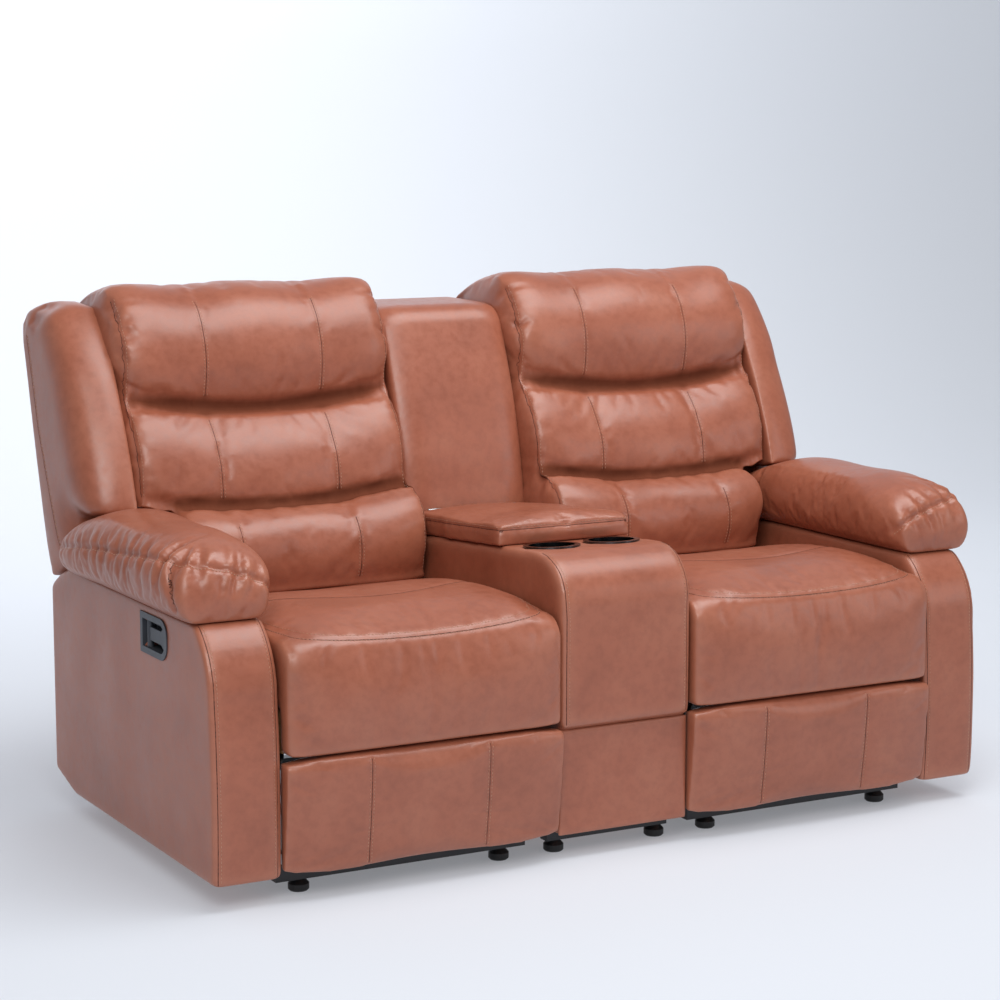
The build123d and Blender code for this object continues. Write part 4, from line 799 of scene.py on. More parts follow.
class LOVESEAT_OT_backs(bpy.types.Operator):
    """Padded back cushions with two cross creases and two stitched columns"""

    bl_idname = "loveseat.backs"
    bl_label = "Back cushions"

    def execute(self, context):
        pad = context.scene.loveseat_padding
        obj = soft_copy("left_back_cushion", "back", pad.voxel, 3)
        self.form(obj, pad.sag)
        creases = self.creases(pad.sag)
        sewn = self.sewn(obj, creases)
        shrink(obj, sewn, depth=9)
        inflate(obj, sewn, pad.pressure, 0.012, pad.back_cap)
        draw_in(obj, creases, CREASE_WIDTH, CREASE_DEPTH)
        sides = self.sides(obj)
        draw_in(obj, sides, width=5, depth=3)
        self.crumple(obj, creases, sides)
        self.pull_columns(obj)
        relax(obj, 1)
        rows, lines = self.rows(complete(obj), pad, sides)
        hang_pair(obj, "back_cushion_cover", "back", ["back_cushion"])
        sew("back", "back", rows, lines)
        return {"FINISHED"}

    @staticmethod
    def lift(x, sag):
        """How far a cross crease is above its mean height at a place across the cushion."""
        return bow("left_back_cushion", x) * sag - sag / 4

    def form(self, obj, sag):
        """Bow the rolls with the creases, and fill out the foot, the outer end and the head."""
        points = coords(obj)
        x, y, z = points.T
        reach = rise(z, *SAG_FOOT) * fall(z, *SAG_HEAD)
        reach *= 1 - rise(np.abs(x), *SAG_END) * fall(z, *SAG_END_TOP)
        z += self.lift(x, sag) * reach
        z -= mm(LUMBAR_DROP) * fall(z, *LUMBAR_FOOT) * (y < mm(LUMBAR_FRONT))
        end = rise(-x, *END_RUN) * fall(z, *END_TOP)
        x -= mm(END_FILL) * end * rise(z, *END_FOOT)
        corner = hump(-x, CORNER_WIDE, CORNER_OUT) * hump(z, CORNER_TALL, CREASES[0][1])
        z -= mm(CORNER_DROP) * corner * (y < mm(CORNER_FRONT))
        z += mm(HEAD_LIFT) * rise(z, *HEAD_RUN)
        set_coords(obj, points)

    def creases(self, sag):
        """The two cross creases, which dip at the middle."""
        low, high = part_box("left_back_cushion")
        xs = np.linspace(low.x, high.x, 160)
        lifts = self.lift(xs, sag)
        return [[Vector((x, mm(y), mm(z) + lift)) for x, lift in zip(xs, lifts)] for y, z in CREASES]

    @staticmethod
    def sewn(obj, creases):
        """How firmly each point of the cover is held: at the creases, the rear and the underside."""
        points = coords(obj)
        x, _, z = points.T
        _, rear, up = normals(obj).T
        held = np.maximum(step(0.1, 0.5, rear), step(0.3, 0.8, -up) * (z < mm(SAG_FOOT[0])))
        for path in creases:
            away, _ = path_distance(points, path)
            held = np.maximum(held, hump(away, CREASE_WIDTH))
        for column in STITCH_COLUMNS:
            held = np.maximum(held, 0.12 * hump(x, 8, -column))
        return held

    @staticmethod
    def sides(obj):
        """The seams between the front and the side strips, as paths up the front."""
        low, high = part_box("left_back_cushion")
        tree = surface(obj)
        paths = []
        inset = mm(SEAM_INSET)
        for x, start in ((low.x + inset, SIDE_FOOT_OUTER), (high.x - inset, SIDE_FOOT_INNER)):
            guide = [Vector((x, -FAR, z)) for z in np.linspace(mm(start), mm(SIDE_TOP), 220)]
            paths.append([place for place, _ in lay(tree, guide, REARWARD)])
        return paths

    @staticmethod
    def crumple(obj, creases, sides):
        """Gathers at the ends of the creases and at the top corners."""
        for number, path in enumerate(creases):
            for end, seed in ((path[6], 21), (path[-7], 31)):
                gather(obj, path, every=17, depth=4.5, reach=30, seed=seed + number, focus=end, spread=75)
        for number, path in enumerate(sides):
            gather(obj, path, every=19, depth=4, reach=32, seed=41 + number, focus=path[-1], spread=110)
            gather(obj, path, every=30, depth=1.6, reach=30, seed=51 + number)

    @staticmethod
    def pull_columns(obj):
        """Draw the cover in a little along the stitched columns."""
        points = coords(obj)
        x, _, z = points.T
        out = normals(obj)
        front = step(0.0, 0.4, -out[:, 1] + 0.3 * out[:, 2]) * fall(z, *COLUMN_FADE)
        for column in STITCH_COLUMNS:
            groove = mm(2) * hump(x, 6, -column) + mm(1) * hump(x, 38, -column)
            points -= out * (front * groove)[:, None]
        set_coords(obj, points)

    def rows(self, tree, pad, sides):
        """Stitches, and painted shade lines along the seams, down the two columns, broken at the creases, and
        up the sides.
        """
        rows = []
        lines = [laid(tree, path[:-1]) for path in sides]
        for column in STITCH_COLUMNS:
            lift = self.lift(-mm(column), pad.sag)
            for low, high in COLUMN_RUNS:
                top = mm(high) + (lift if high < SAG_HEAD[1] else 0)
                heights = np.linspace(mm(low) + lift, top, 60)
                pair, line = stitched_column(tree, -mm(column), heights, pad.row_gap)
                rows += pair
                lines.append(line)
        for path, inward in zip(sides, (1, -1)):
            guide = [Vector((p.x + inward * mm(7), -FAR, p.z)) for p in path]
            rows.append(lay(tree, guide, REARWARD))
        return rows, lines


# Wings, with places in millimetres

WING_SEAM = ((440, 930), (383, 748), (280, 530))  # rearward and up, down the outer face
WING_FACE = 820
CHIN_DROP = 8  # the lower front corner hangs over the arm pad
CHIN_TOP = (612, 700)
CHIN_REAR = (180, 230)
WING_REAR = (300, 420)  # held still while the front is smoothed
WING_ROUNDS = 46


class LOVESEAT_OT_wings(bpy.types.Operator):
    """Padded wings at the outer ends of the backs, and the outside back panels"""

    bl_idname = "loveseat.wings"
    bl_label = "Wings and outside backs"

    def execute(self, context):
        pad = context.scene.loveseat_padding
        obj = soft_copy("left_back_wing", "wing", mm(6), 3)
        inner, rear, _ = normals(obj).T
        sewn = np.maximum(step(0.5, 0.9, inner), step(0.4, 0.8, rear))
        inflate(obj, sewn, pad.pressure, 0.0, pad.pad_cap)
        points = coords(obj)
        _, y, z = points.T
        z -= mm(CHIN_DROP) * fall(z, *CHIN_TOP) * fall(y, *CHIN_REAR)
        set_coords(obj, smoothed(obj, points, WING_ROUNDS, np.maximum(sewn, rise(y, *WING_REAR))))
        seam = self.seam()
        draw_in(obj, [seam], width=6, depth=3)
        tree = complete(obj)
        guide = [Vector((-FAR_SIDE, p.y - mm(6), p.z)) for p in seam]
        hang_pair(obj, "back_wing_cover", "back", ["back_wing"])
        sew("wing", "back", [lay(tree, guide, RIGHTWARD)], [laid(tree, seam)], thick=1.5)
        panel = soft_copy("left_back_cover", "outside_back", mm(5), 3)
        ripple(panel, length=320, seed=4, height=1.2)
        complete(panel, 0)
        hang_pair(panel, "outside_back", "back", ["back_cover"])
        return {"FINISHED"}

    @staticmethod
    def seam():
        """The seam down the outer face, between the padded roll and the side panel."""
        marks = [Vector((-mm(WING_FACE), mm(y), mm(z))) for y, z in WING_SEAM]
        path = []
        for a, b in zip(marks, marks[1:]):
            path += [a.lerp(b, t) for t in np.linspace(0, 1, 60, endpoint=False)]
        return path + [marks[-1]]


# Seats and footrests, with places in millimetres

ROLL_SEAM = 456  # height of the front roll's seam at the middle
ROLL_SEAM_RISE = 18  # and how much higher it is at the ends
TOP_SEAM = -300  # the top seam's place at the middle
TOP_SEAM_BOW = 105  # and how much further back it is at the ends
FOOTREST_COLUMN = 117  # out from the middle of a footrest
FOOTREST_WIDEN = 3.5
BOARD_WRAP = 14  # how far the cover reaches back over the edges of the board


class LOVESEAT_OT_seats(bpy.types.Operator):
    """Seat cushions with a stitched front roll"""

    bl_idname = "loveseat.seats"
    bl_label = "Seat cushions"

    def execute(self, context):
        pad = context.scene.loveseat_padding
        obj = soft_copy("left_seat_cushion", "seat", pad.voxel, 4)
        guide = self.roll_guide()
        seam = [place for place, _ in lay(surface(obj), guide, REARWARD)]
        away, _ = path_distance(coords(obj), seam)
        side, rear, up = normals(obj).T
        sewn = 0.75 * hump(away, 8)
        for held in (step(0.3, 0.7, rear), step(0.3, 0.7, -up), step(0.6, 0.95, np.abs(side))):
            sewn = np.maximum(sewn, held)
        shrink(obj, sewn, depth=4)
        inflate(obj, sewn, pad.pressure, 0.012, pad.seat_cap)
        top = self.top_seam(obj)
        draw_in(obj, [seam], width=7, depth=4)
        draw_in(obj, [top], width=6, depth=2)
        relax(obj, 1)
        tree = complete(obj)
        rows = double_rows(tree, guide, UPWARD, REARWARD, pad.row_gap)
        hang_pair(obj, "seat_cushion_cover", "seat", ["seat_cushion"])
        sew("seat", "seat", rows, [laid(tree, seam), laid(tree, top)])
        return {"FINISHED"}

    @staticmethod
    def roll_guide():
        """The stitched seam over the front roll, lower at its middle, from in front."""
        low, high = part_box("left_seat_cushion")
        xs = np.linspace(low.x, high.x, 140)
        heights = mm(ROLL_SEAM) + mm(ROLL_SEAM_RISE) * bow("left_seat_cushion", xs)
        return [Vector((x, -FAR, z)) for x, z in zip(xs, heights)]

    @staticmethod
    def top_seam(obj):
        """The plain seam that bows forward across the top."""
        low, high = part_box("left_seat_cushion")
        xs = np.linspace(low.x + mm(4), high.x - mm(4), 140)
        places = mm(TOP_SEAM) + mm(TOP_SEAM_BOW) * bow("left_seat_cushion", xs)
        guide = [Vector((x, y, FAR)) for x, y in zip(xs, places)]
        return [place for place, _ in lay(surface(obj), guide, DOWNWARD)]


class LOVESEAT_OT_footrests(bpy.types.Operator):
    """Footrest pads with two stitched columns"""

    bl_idname = "loveseat.footrests"
    bl_label = "Footrest pads"

    def execute(self, context):
        pad = context.scene.loveseat_padding
        obj = soft_copy("left_footrest_pad", "footrest", mm(5), 3)
        low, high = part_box("left_footrest_pad")
        middle = (low.x + high.x) / 2
        columns = (middle - mm(FOOTREST_COLUMN), middle + mm(FOOTREST_COLUMN))
        points = coords(obj)
        x, y, _ = points.T
        side, rear, _ = normals(obj).T
        aside = x - middle
        x += mm(FOOTREST_WIDEN) * step(0.3, 0.9, np.abs(aside) / (high.x - middle)) * np.sign(aside)
        y += mm(BOARD_WRAP) * step(0.4, 0.9, rear)
        set_coords(obj, points)
        sewn = np.maximum(step(0.2, 0.6, rear), step(0.5, 0.9, np.abs(side)))
        for column in columns:
            sewn = np.maximum(sewn, 0.25 * hump(x - column, 6))
        inflate(obj, sewn, pad.pressure, 0.0, pad.pad_cap)
        self.pull_columns(obj, columns)
        tree = complete(obj)
        rows = []
        lines = []
        for column in columns:
            heights = np.linspace(low.z + mm(8), high.z - mm(8), 80)
            pair, line = stitched_column(tree, column, heights, pad.row_gap)
            rows += pair
            lines.append(line)
        hang_pair(obj, "footrest_cover", "footrest", ["footrest_pad"])
        sew("footrest", "footrest", rows, lines)
        return {"FINISHED"}

    @staticmethod
    def pull_columns(obj, columns):
        """Draw the front in a little along the stitched columns."""
        points = coords(obj)
        out = normals(obj)
        front = step(0.6, 0.95, -out[:, 1])
        for column in columns:
            points -= out * (front * mm(1.8) * hump(points[:, 0] - column, 5))[:, None]
        set_coords(obj, points)


# Shapes cut and built from side views


def three_point_arc(start, through, end, count):
    """Points on the circle through three points, from the first to the last, the last left out."""
    (ax, ay), (bx, by), (cx, cy) = start, through, end
    twice = 2 * (ax * (by - cy) + bx * (cy - ay) + cx * (ay - by))
    a2, b2, c2 = ax * ax + ay * ay, bx * bx + by * by, cx * cx + cy * cy
    ux = (a2 * (by - cy) + b2 * (cy - ay) + c2 * (ay - by)) / twice
    uy = (a2 * (cx - bx) + b2 * (ax - cx) + c2 * (bx - ax)) / twice
    radius = math.hypot(ax - ux, ay - uy)
    turns = [math.atan2(y - uy, x - ux) for x, y in (start, through, end)]
    full = 2 * math.pi
    sweep = (turns[2] - turns[0]) % full
    if (turns[1] - turns[0]) % full > sweep:
        sweep -= full
    spots = [turns[0] + sweep * i / count for i in range(count)]
    return [(ux + radius * math.cos(t), uy + radius * math.sin(t)) for t in spots]


def pull(bm, made, shift):
    """Move the points that an extrusion made."""
    moved = [v for v in made["geom"] if isinstance(v, bmesh.types.BMVert)]
    bmesh.ops.translate(bm, verts=moved, vec=shift)


def slab(outline, start, end, edge):
    """A bmesh slab from a side-view outline of (y, z), between two x places, with rounded edges."""
    bm = bmesh.new()
    face = bm.faces.new([bm.verts.new((start, y, z)) for y, z in outline])
    pull(bm, bmesh.ops.extrude_face_region(bm, geom=[face]), (end - start, 0, 0))
    round_edges(bm, side_edges(bm, start) + side_edges(bm, end), edge)
    return bm


def side_edges(bm, x):
    """The edges of a slab that lie on one of its side faces."""
    return [e for e in bm.edges if all(abs(v.co.x - x) < 1e-6 for v in e.verts)]


def round_edges(bm, edges, width):
    """Round some edges of a bmesh."""
    bmesh.ops.bevel(bm, geom=edges, offset=mm(width), offset_type="OFFSET", affect="EDGES", segments=3,
                    profile=0.5, material=-1)


def block(middle, size):
    """A bmesh box."""
    bm = bmesh.new()
    bmesh.ops.create_cube(bm, size=1.0)
    bmesh.ops.scale(bm, vec=size, verts=bm.verts)
    bmesh.ops.translate(bm, vec=middle, verts=bm.verts)
    return bm


def cut(obj, bm):
    """Cut a bmesh out of an object."""
    cutter = add_object(bm, "cutter")
    mod = obj.modifiers.new("cut", "BOOLEAN")
    mod.operation = "DIFFERENCE"
    mod.object = cutter
    mod.solver = "EXACT"
    bake(obj)
    bpy.data.objects.remove(cutter)


# Arms, with places in millimetres

COVER_VOXEL = 7  # mesh size of the arm and console covers
ARM_SHOULDER = 367  # heights up the arm's front
ARM_BELLY = 210
ARM_BROW = 446
ARM_REAR_TOP = (447.9, 474.8)  # heights where the top turns down at the rear
ARM_REAR_RUN = (240, 309)  # and how far back that starts and bends
ARM_STRIP_END = -330  # the front strip's seams end here on top
ARM_ROW_INSET = 15
ARM_ROW_UP = (54, 440)
ARM_ROW_BACK = (-438, -385)
RECESS_INSET = 8  # the handle's bezel laps over the edge of its recess
RECESS_CORNER = 18
HANDLE = (-207, 442)  # where the side is held flat, rearward and up


def arm_outline():
    """Side view of an arm, from its front foot round over the top."""
    low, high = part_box("left_arm_cover")
    front = low.y + mm(4)
    shoulder = (front + mm(4), mm(ARM_SHOULDER))
    crest = (front + mm(72), high.z)
    rear = (high.y, mm(ARM_REAR_TOP[0]))
    turn = (mm(ARM_REAR_RUN[1]), mm(ARM_REAR_TOP[1]))
    outline = three_point_arc((front, low.z), (low.y, mm(ARM_BELLY)), shoulder, 8)
    outline += three_point_arc(shoulder, (front + mm(24), mm(ARM_BROW)), crest, 8)
    outline.append(crest)
    outline += three_point_arc((mm(ARM_REAR_RUN[0]), high.z), turn, rear, 8)
    return outline + [rear, (high.y, low.z + mm(30)), (high.y - mm(110), low.z)]


class LOVESEAT_OT_arms(bpy.types.Operator):
    """Arm covers with seamed front edges"""

    bl_idname = "loveseat.arms"
    bl_label = "Arms"

    def execute(self, context):
        low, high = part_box("left_arm_cover")
        obj = add_object(slab(arm_outline(), low.x, high.x, edge=9), "arm")
        self.cut_recess(obj)
        remesh(obj, mm(COVER_VOXEL), 2)
        self.swell(obj, low)
        edges = self.edges(low, high)
        draw_in(obj, edges, width=4, depth=2)
        tree = complete(obj)
        rows = [self.row(tree, x) for x in (low.x + mm(ARM_ROW_INSET), high.x - mm(ARM_ROW_INSET))]
        hang_pair(obj, "arm_upholstery", "frame", ["arm_cover"])
        sew("arm", "frame", rows, [laid(tree, path) for path in edges])
        return {"FINISHED"}

    @staticmethod
    def cut_recess(obj):
        """Cut the space for the handle's cup."""
        low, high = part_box("left_handle_bezel")
        size = high - low
        inset = 2 * mm(RECESS_INSET)
        bm = block((low + high) / 2, (size.x * 2, size.y - inset, size.z - inset))
        through = [e for e in bm.edges if abs(e.verts[0].co.x - e.verts[1].co.x) > mm(1)]
        round_edges(bm, through, RECESS_CORNER)
        cut(obj, bm)

    @staticmethod
    def swell(obj, low):
        """Pad the side faces a little, away from their edges and the handle."""
        points = coords(obj)
        _, y, z = points.T
        out = normals(obj)
        swell = rise(z - low.z, 0, 90) * fall(z, 380, 470)
        swell *= rise(y - low.y, 0, 120) * fall(y, 230, 340)
        near = hump(y, 90, HANDLE[0]) * hump(z, 70, HANDLE[1])
        side = np.abs(out[:, 0]) * swell * (1 - near)
        points += out * (side * mm(1.6) * (1 + waves(points, 240, 3)))[:, None]
        set_coords(obj, points)

    @staticmethod
    def edges(low, high):
        """The seams where the front strip meets the side panels."""
        front = [(y, z) for y, z in arm_outline() if y < mm(ARM_STRIP_END)]
        paths = []
        for x in (low.x + mm(SEAM_INSET), high.x - mm(SEAM_INSET)):
            path = []
            for (y0, z0), (y1, z1) in zip(front, front[1:]):
                path += [Vector((x, y0 + (y1 - y0) * t, z0 + (z1 - z0) * t)) for t in np.linspace(0, 1, 14)]
            paths.append(path)
        return paths

    @staticmethod
    def row(tree, x):
        """Stitches up the front strip, laid from in front and above."""
        low, high = ARM_ROW_UP
        near, far = ARM_ROW_BACK
        row = lay(tree, [Vector((x, -FAR, z)) for z in np.linspace(mm(low), mm(high), 120)], REARWARD)
        return row + lay(tree, [Vector((x, y, FAR)) for y in np.linspace(mm(near), mm(far), 24)], DOWNWARD)


# Places in millimetres along the gathered seam, from the rear round the outer side and across the front
PAD_SEAM = (
    (-858, 196, 549), (-864, 129, 560), (-867, 0, 576), (-867, -116, 589), (-861, -260, 601),
    (-843, -352, 606), (-812, -388, 604), (-769, -402, 595), (-720, -404, 577), (-683, -398, 556),
    (-664, -380, 537),
)
PAD_CORNER = 5  # the place where the seam turns the front corner
PAD_STEPS = 26  # steps from one place to the next
PAD_DART = ((-842, -356, 606), (-848, -366, 570), (-832, -376, 528))


class LOVESEAT_OT_arm_pads(bpy.types.Operator):
    """Pillow arm pads, gathered along a seam round their outer side and front"""

    bl_idname = "loveseat.arm_pads"
    bl_label = "Arm pads"

    def execute(self, context):
        pad = context.scene.loveseat_padding
        obj = soft_copy("left_arm_pad", "arm_pad", pad.fine_voxel, 4)
        sewn = step(0.5, 0.9, -normals(obj)[:, 2])
        inflate(obj, sewn, pad.pressure, 0.015, pad.pad_cap)
        seam = snap(obj, PAD_SEAM, PAD_STEPS)
        dart = snap(obj, PAD_DART, 20)
        corner = seam[PAD_STEPS * PAD_CORNER]
        gather(obj, seam, every=40, depth=5.5, reach=34, seed=11)
        gather(obj, seam, every=36, depth=8, reach=50, seed=17, focus=corner, spread=125)
        draw_in(obj, [seam], width=6, depth=6)
        draw_in(obj, [dart], width=6, depth=7)
        tree = complete(obj)
        hang_pair(obj, "arm_pad_cover", "frame", ["arm_pad"])
        sew("arm_pad", "frame", [laid(tree, seam[4:-4], (0, 0, -mm(3)))], [laid(tree, dart)], thick=1.4)
        return {"FINISHED"}


# Console, with places in millimetres

# Up the front and over the nose, rearward and up
CONSOLE_SEAM = ((-475, 256), (-475, 360), (-475, 462), (-452, 533), (-383, 564))
NOSE_FOOT = 250  # heights of the nose's underside and of where it starts to turn back
NOSE_TURN = 462
NOSE_SETBACK = 20  # the kick panel stands behind the nose
CREST_PLACE = -383
TOP_REAR = 508.6  # height of the top at the rear
TAIL = (356, 447.9)  # rearward and up
CUP_OUT = 65
CUP_RADIUS = 48
CUP_CUT = 140
BIN_LIP = 14  # the cover laps over the bin's edge
BIN_CUT_OVER = 60  # how far the cut goes past the bin's top
CONSOLE_SLOPE = math.radians(4.2)
LID_RIM = 20  # the lid's seam below the top of its pad
LID_CORNER = 6
LID_END = 8
LID_HOLD = (10, 70)  # the rear is held in, to clear the console's back when the lid is up
LID_SWELL = 0.045  # the lid's cover stands out past the console
LID_SWELL_RUN = (60, 120)
LID_CLEAR = (-40, 20)  # in front of the backs
REST_CLEAR = 3  # the foot of the console's back stands clear of the raised lid
REST_FOOT = (600, 680)


def console_outline():
    """Side view of the console cover, from its foot round over the nose and the sloping top."""
    low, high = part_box("console_cover")
    nose = (low.y, mm(NOSE_TURN))
    crest = (mm(CREST_PLACE), high.z)
    kick = low.y + mm(NOSE_SETBACK)
    tail, tail_top = (mm(size) for size in TAIL)
    outline = [(kick, low.z), (kick, mm(NOSE_FOOT)), (low.y, mm(NOSE_FOOT))]
    outline += three_point_arc(nose, (low.y + mm(23), high.z - mm(31)), crest, 10)
    return outline + [crest, (high.y, mm(TOP_REAR)), (tail, tail_top), (tail, low.z)]


class LOVESEAT_OT_console(bpy.types.Operator):
    """Console cover, kick panel, lid pad and console back"""

    bl_idname = "loveseat.console"
    bl_label = "Console"

    def execute(self, context):
        self.cover()
        self.kick()
        self.lid(context.scene.loveseat_padding)
        self.rest()
        return {"FINISHED"}

    @staticmethod
    def cover():
        """The cover, with its openings for the bin and the cup holders."""
        low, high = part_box("console_cover")
        obj = add_object(slab(console_outline(), low.x, high.x, edge=7), "console_upholstery")
        bin_low, bin_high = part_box("console_bin")
        lift = Vector((0, 0, mm(BIN_CUT_OVER / 2)))
        size = bin_high - bin_low - Vector((mm(BIN_LIP), mm(BIN_LIP), mm(-BIN_CUT_OVER)))
        cut(obj, block((bin_low + bin_high) / 2 + lift, size))
        cup_low, cup_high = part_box("cup_holders")
        radius = mm(CUP_RADIUS)
        deep = mm(CUP_CUT)
        for x in (-mm(CUP_OUT), mm(CUP_OUT)):
            bm = bmesh.new()
            bmesh.ops.create_cone(bm, cap_ends=True, segments=48, radius1=radius, radius2=radius, depth=deep)
            bmesh.ops.translate(bm, verts=bm.verts, vec=(x, (cup_low.y + cup_high.y) / 2, cup_high.z))
            cut(obj, bm)
        remesh(obj, mm(COVER_VOXEL), 2)
        seams = []
        for x in (low.x + mm(SEAM_INSET), high.x - mm(SEAM_INSET)):
            seams.append(snap(obj, [(x * 1000, y, z) for y, z in CONSOLE_SEAM], 40))
        draw_in(obj, seams, width=5, depth=2)
        ripple(obj, length=260, seed=8, height=0.8)
        tree = complete(obj)
        rows = [laid(tree, path, (inward * mm(6), 0, 0)) for path, inward in zip(seams, (1, -1))]
        hang(obj, "frame", ["console_cover"])
        sew("console", "frame", rows, [laid(tree, path) for path in seams], paired=False)

    @staticmethod
    def kick():
        """The panel below the console's nose."""
        obj = soft_copy("console_kick_panel", "console_kick_cover", mm(4), 2)
        complete(obj, 0)
        hang(obj, "frame", ["console_kick_panel"])

    @staticmethod
    def lid(pad):
        """The lid: board and pad in one boxed cover."""
        obj = add_object(node_copy("lid_pad", "lid_board"), "lid_cover")
        remesh(obj, mm(4), 3)
        side, _, up = normals(obj).T
        sewn = np.maximum(step(0.4, 0.8, -up), step(0.6, 0.9, np.abs(side)))
        sewn = np.maximum(sewn, rise(coords(obj)[:, 1], *LID_HOLD))
        inflate(obj, sewn, pad.pressure, 0.0, mm(5))
        points = coords(obj)
        x, y, _ = points.T
        x *= 1 + LID_SWELL * fall(y, *LID_CLEAR) * rise(np.abs(x), *LID_SWELL_RUN)
        set_coords(obj, points)
        low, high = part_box("lid_pad")
        rear, front, turn = high.y - mm(LID_END), low.y + mm(LID_CORNER), mm(LID_CORNER)
        edge = []
        for x, y in ((low.x, rear), (low.x, front), (low.x + turn, low.y),
                     (high.x - turn, low.y), (high.x, front), (high.x, rear)):
            rim = high.z - mm(LID_RIM) - (y - low.y) * math.tan(CONSOLE_SLOPE)
            edge.append((x * 1000, y * 1000, rim * 1000))
        seam = snap(obj, edge, 60)
        draw_in(obj, [seam], width=4, depth=2)
        gather(obj, seam, every=26, depth=0.8, reach=12, seed=71)
        tree = complete(obj)
        hang(obj, "console_lid", ["lid_pad", "lid_board"])
        sew("lid", "console_lid", [laid(tree, seam, (0, 0, mm(5)))], [laid(tree, seam)], paired=False)

    @staticmethod
    def rest():
        """The fixed back above the console, pulled tight over its frame."""
        nodes = ["console_back_pad", "console_back_frame", "console_back_cover"]
        bm = node_copy(*nodes)
        bmesh.ops.delete(bm, geom=bm.faces, context="FACES_ONLY")
        bmesh.ops.delete(bm, geom=bm.edges, context="EDGES_FACES")
        bmesh.ops.convex_hull(bm, input=bm.verts)
        bmesh.ops.delete(bm, geom=[v for v in bm.verts if not v.link_faces], context="VERTS")
        obj = add_object(bm, "console_back")
        remesh(obj, mm(6), 4)
        points = coords(obj)
        _, y, z = points.T
        y += mm(REST_CLEAR) * step(0.2, 0.6, -normals(obj)[:, 1]) * fall(z, *REST_FOOT)
        set_coords(obj, points)
        complete(obj)
        hang(obj, "frame", nodes)


# Stage, in metres

FLOOR_HALF = 9.0  # half of the paper's width, and how far it reaches to the front
SWEEP_START = 2.6
SWEEP_RADIUS = 1.6
BACKDROP_TOP = 7.0


def area_light(name, place, aim, size, power, colour):
    """A soft rectangular lamp."""
    data = bpy.data.lights.new(name, "AREA")
    data.shape = "RECTANGLE"
    data.size, data.size_y = size
    data.energy = power
    data.color = colour
    lamp = bpy.data.objects.new(name, data)
    lamp.location = place
    lamp.rotation_euler = (Vector(aim) - Vector(place)).to_track_quat("-Z", "Y").to_euler()
    bpy.context.scene.collection.objects.link(lamp)


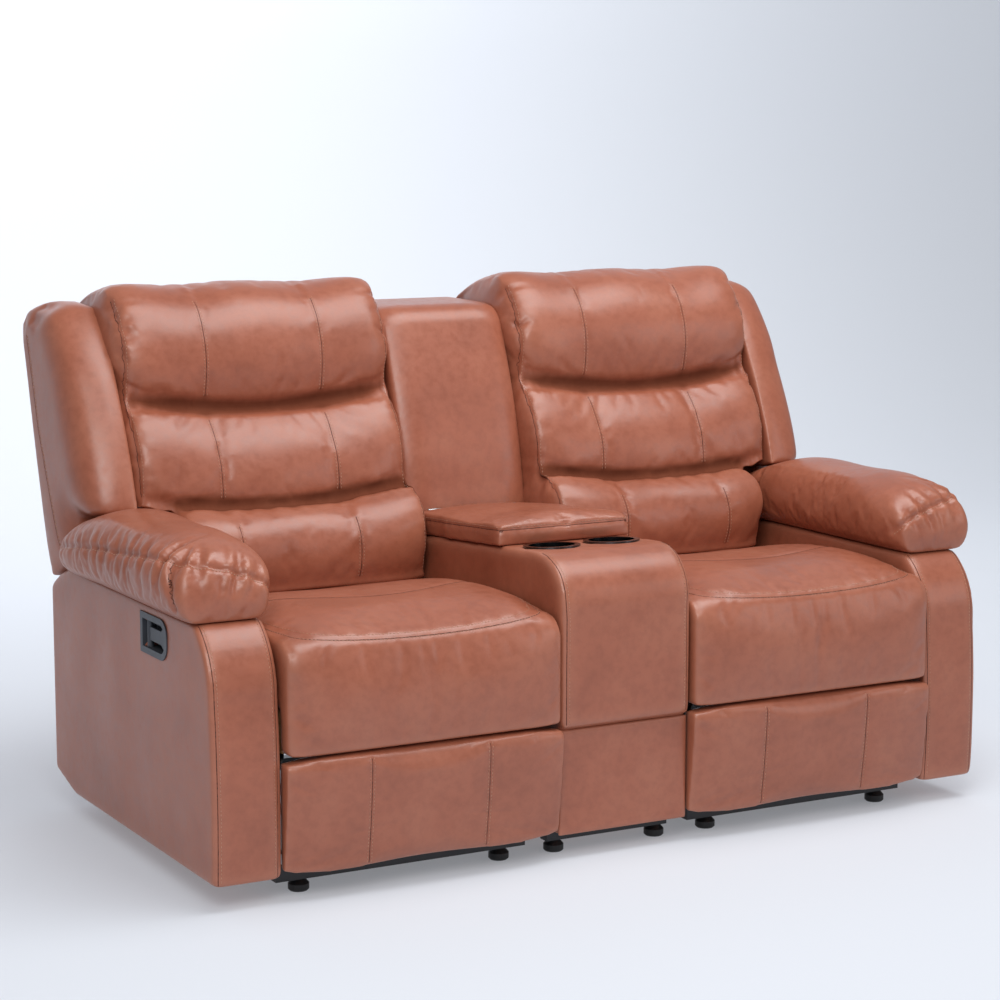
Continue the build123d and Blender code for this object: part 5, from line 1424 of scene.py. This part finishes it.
class LOVESEAT_OT_stage(bpy.types.Operator):
    """Pale studio floor, soft lamps and the camera"""

    bl_idname = "loveseat.stage"
    bl_label = "Stage"

    def execute(self, context):
        scene = context.scene
        stage = scene.loveseat_stage
        scene.view_settings.view_transform = "Standard"
        camera = bpy.data.objects.new("camera", bpy.data.cameras.new("camera"))
        camera.data.lens = stage.lens
        camera.data.sensor_width = 36
        camera.location = stage.camera
        camera.rotation_euler = Vector(stage.aim).to_track_quat("-Z", "Y").to_euler()
        scene.collection.objects.link(camera)
        scene.camera = camera
        self.floor(scene.loveseat_finish)
        self.lamps(scene)
        return {"FINISHED"}

    @staticmethod
    def floor(finish):
        """A floor that sweeps up into a backdrop, of pale paper that glows a little."""
        bm = bmesh.new()
        profile = [(-FLOOR_HALF, 0.0)]
        for turn in np.linspace(0, math.pi / 2, 13):
            profile.append((SWEEP_START + SWEEP_RADIUS * math.sin(turn), SWEEP_RADIUS * (1 - math.cos(turn))))
        profile.append((SWEEP_START + SWEEP_RADIUS, BACKDROP_TOP))
        rail = [bm.verts.new((-FLOOR_HALF, y, z)) for y, z in profile]
        edges = [bm.edges.new(pair) for pair in zip(rail, rail[1:])]
        pull(bm, bmesh.ops.extrude_edge_only(bm, edges=edges), (2 * FLOOR_HALF, 0, 0))
        obj = add_object(bm, "floor")
        shade(obj, 0)
        tree, shader, _ = new_material("studio_paper")
        set_inputs(tree, shader, Base_Color=finish.floor, Roughness=0.95, Specular_IOR_Level=0.1,
                   Emission_Color=finish.glow, Emission_Strength=0.24)
        obj.data.materials.append(bpy.data.materials["studio_paper"])

    @staticmethod
    def lamps(scene):
        """Even light all round, a broad key from the upper left, a top bank, a wash and a weak fill."""
        world = bpy.data.worlds.new("studio")
        scene.world = world
        world.use_nodes = True
        backdrop = world.node_tree.nodes["Background"]
        set_inputs(world.node_tree, backdrop, Color=linear("#F2F5FB"), Strength=0.29)
        area_light("key", (-2.2, -3.4, 3.0), (0, 0, 0.5), (2.2, 1.8), 82, (1, 0.99, 0.97))
        area_light("top", (0.5, -0.9, 3.3), (0, 0.1, 0.4), (3.0, 1.8), 82, (1, 1, 1))
        area_light("wash", (0.4, 2.4, 3.2), (1.0, 4.2, 1.4), (4.0, 0.6), 90, (1, 1, 1))
        area_light("fill", (3.4, -3.8, 1.9), (0, 0, 0.6), (2.0, 2.0), 24, (0.95, 0.97, 1))


PIECES = (
    "finishes", "backs", "wings", "seats", "footrests", "arms", "arm_pads", "console", "stage",
)


class LOVESEAT_PT_panel(bpy.types.Panel):
    """Lists the pieces in the sidebar"""

    bl_idname = "LOVESEAT_PT_panel"
    bl_label = "Loveseat"
    bl_space_type = "VIEW_3D"
    bl_region_type = "UI"
    bl_category = "Loveseat"

    def draw(self, context):
        for piece in PIECES:
            self.layout.operator(f"loveseat.{piece}")
        for name in GROUPS:
            group = getattr(context.scene, name)
            box = self.layout.box()
            for prop in group.__annotations__:
                box.prop(group, prop)


GROUPS = {
    "loveseat_finish": LoveseatFinish,
    "loveseat_padding": LoveseatPadding,
    "loveseat_stage": LoveseatStage,
}
CLASSES = (
    LoveseatFinish, LoveseatPadding, LoveseatStage,
    LOVESEAT_OT_finishes, LOVESEAT_OT_backs, LOVESEAT_OT_wings, LOVESEAT_OT_seats, LOVESEAT_OT_footrests,
    LOVESEAT_OT_arms, LOVESEAT_OT_arm_pads, LOVESEAT_OT_console, LOVESEAT_OT_stage, LOVESEAT_PT_panel,
)


def register():
    for cls in CLASSES:
        bpy.utils.register_class(cls)
    for name, group in GROUPS.items():
        setattr(bpy.types.Scene, name, bpy.props.PointerProperty(type=group))


def unregister():
    for name in GROUPS:
        delattr(bpy.types.Scene, name)
    for cls in reversed(CLASSES):
        bpy.utils.unregister_class(cls)


def main():
    """Register the add-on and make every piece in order."""
    register()
    for piece in PIECES:
        getattr(bpy.ops.loveseat, piece)()


if __name__ == "__main__":
    main()
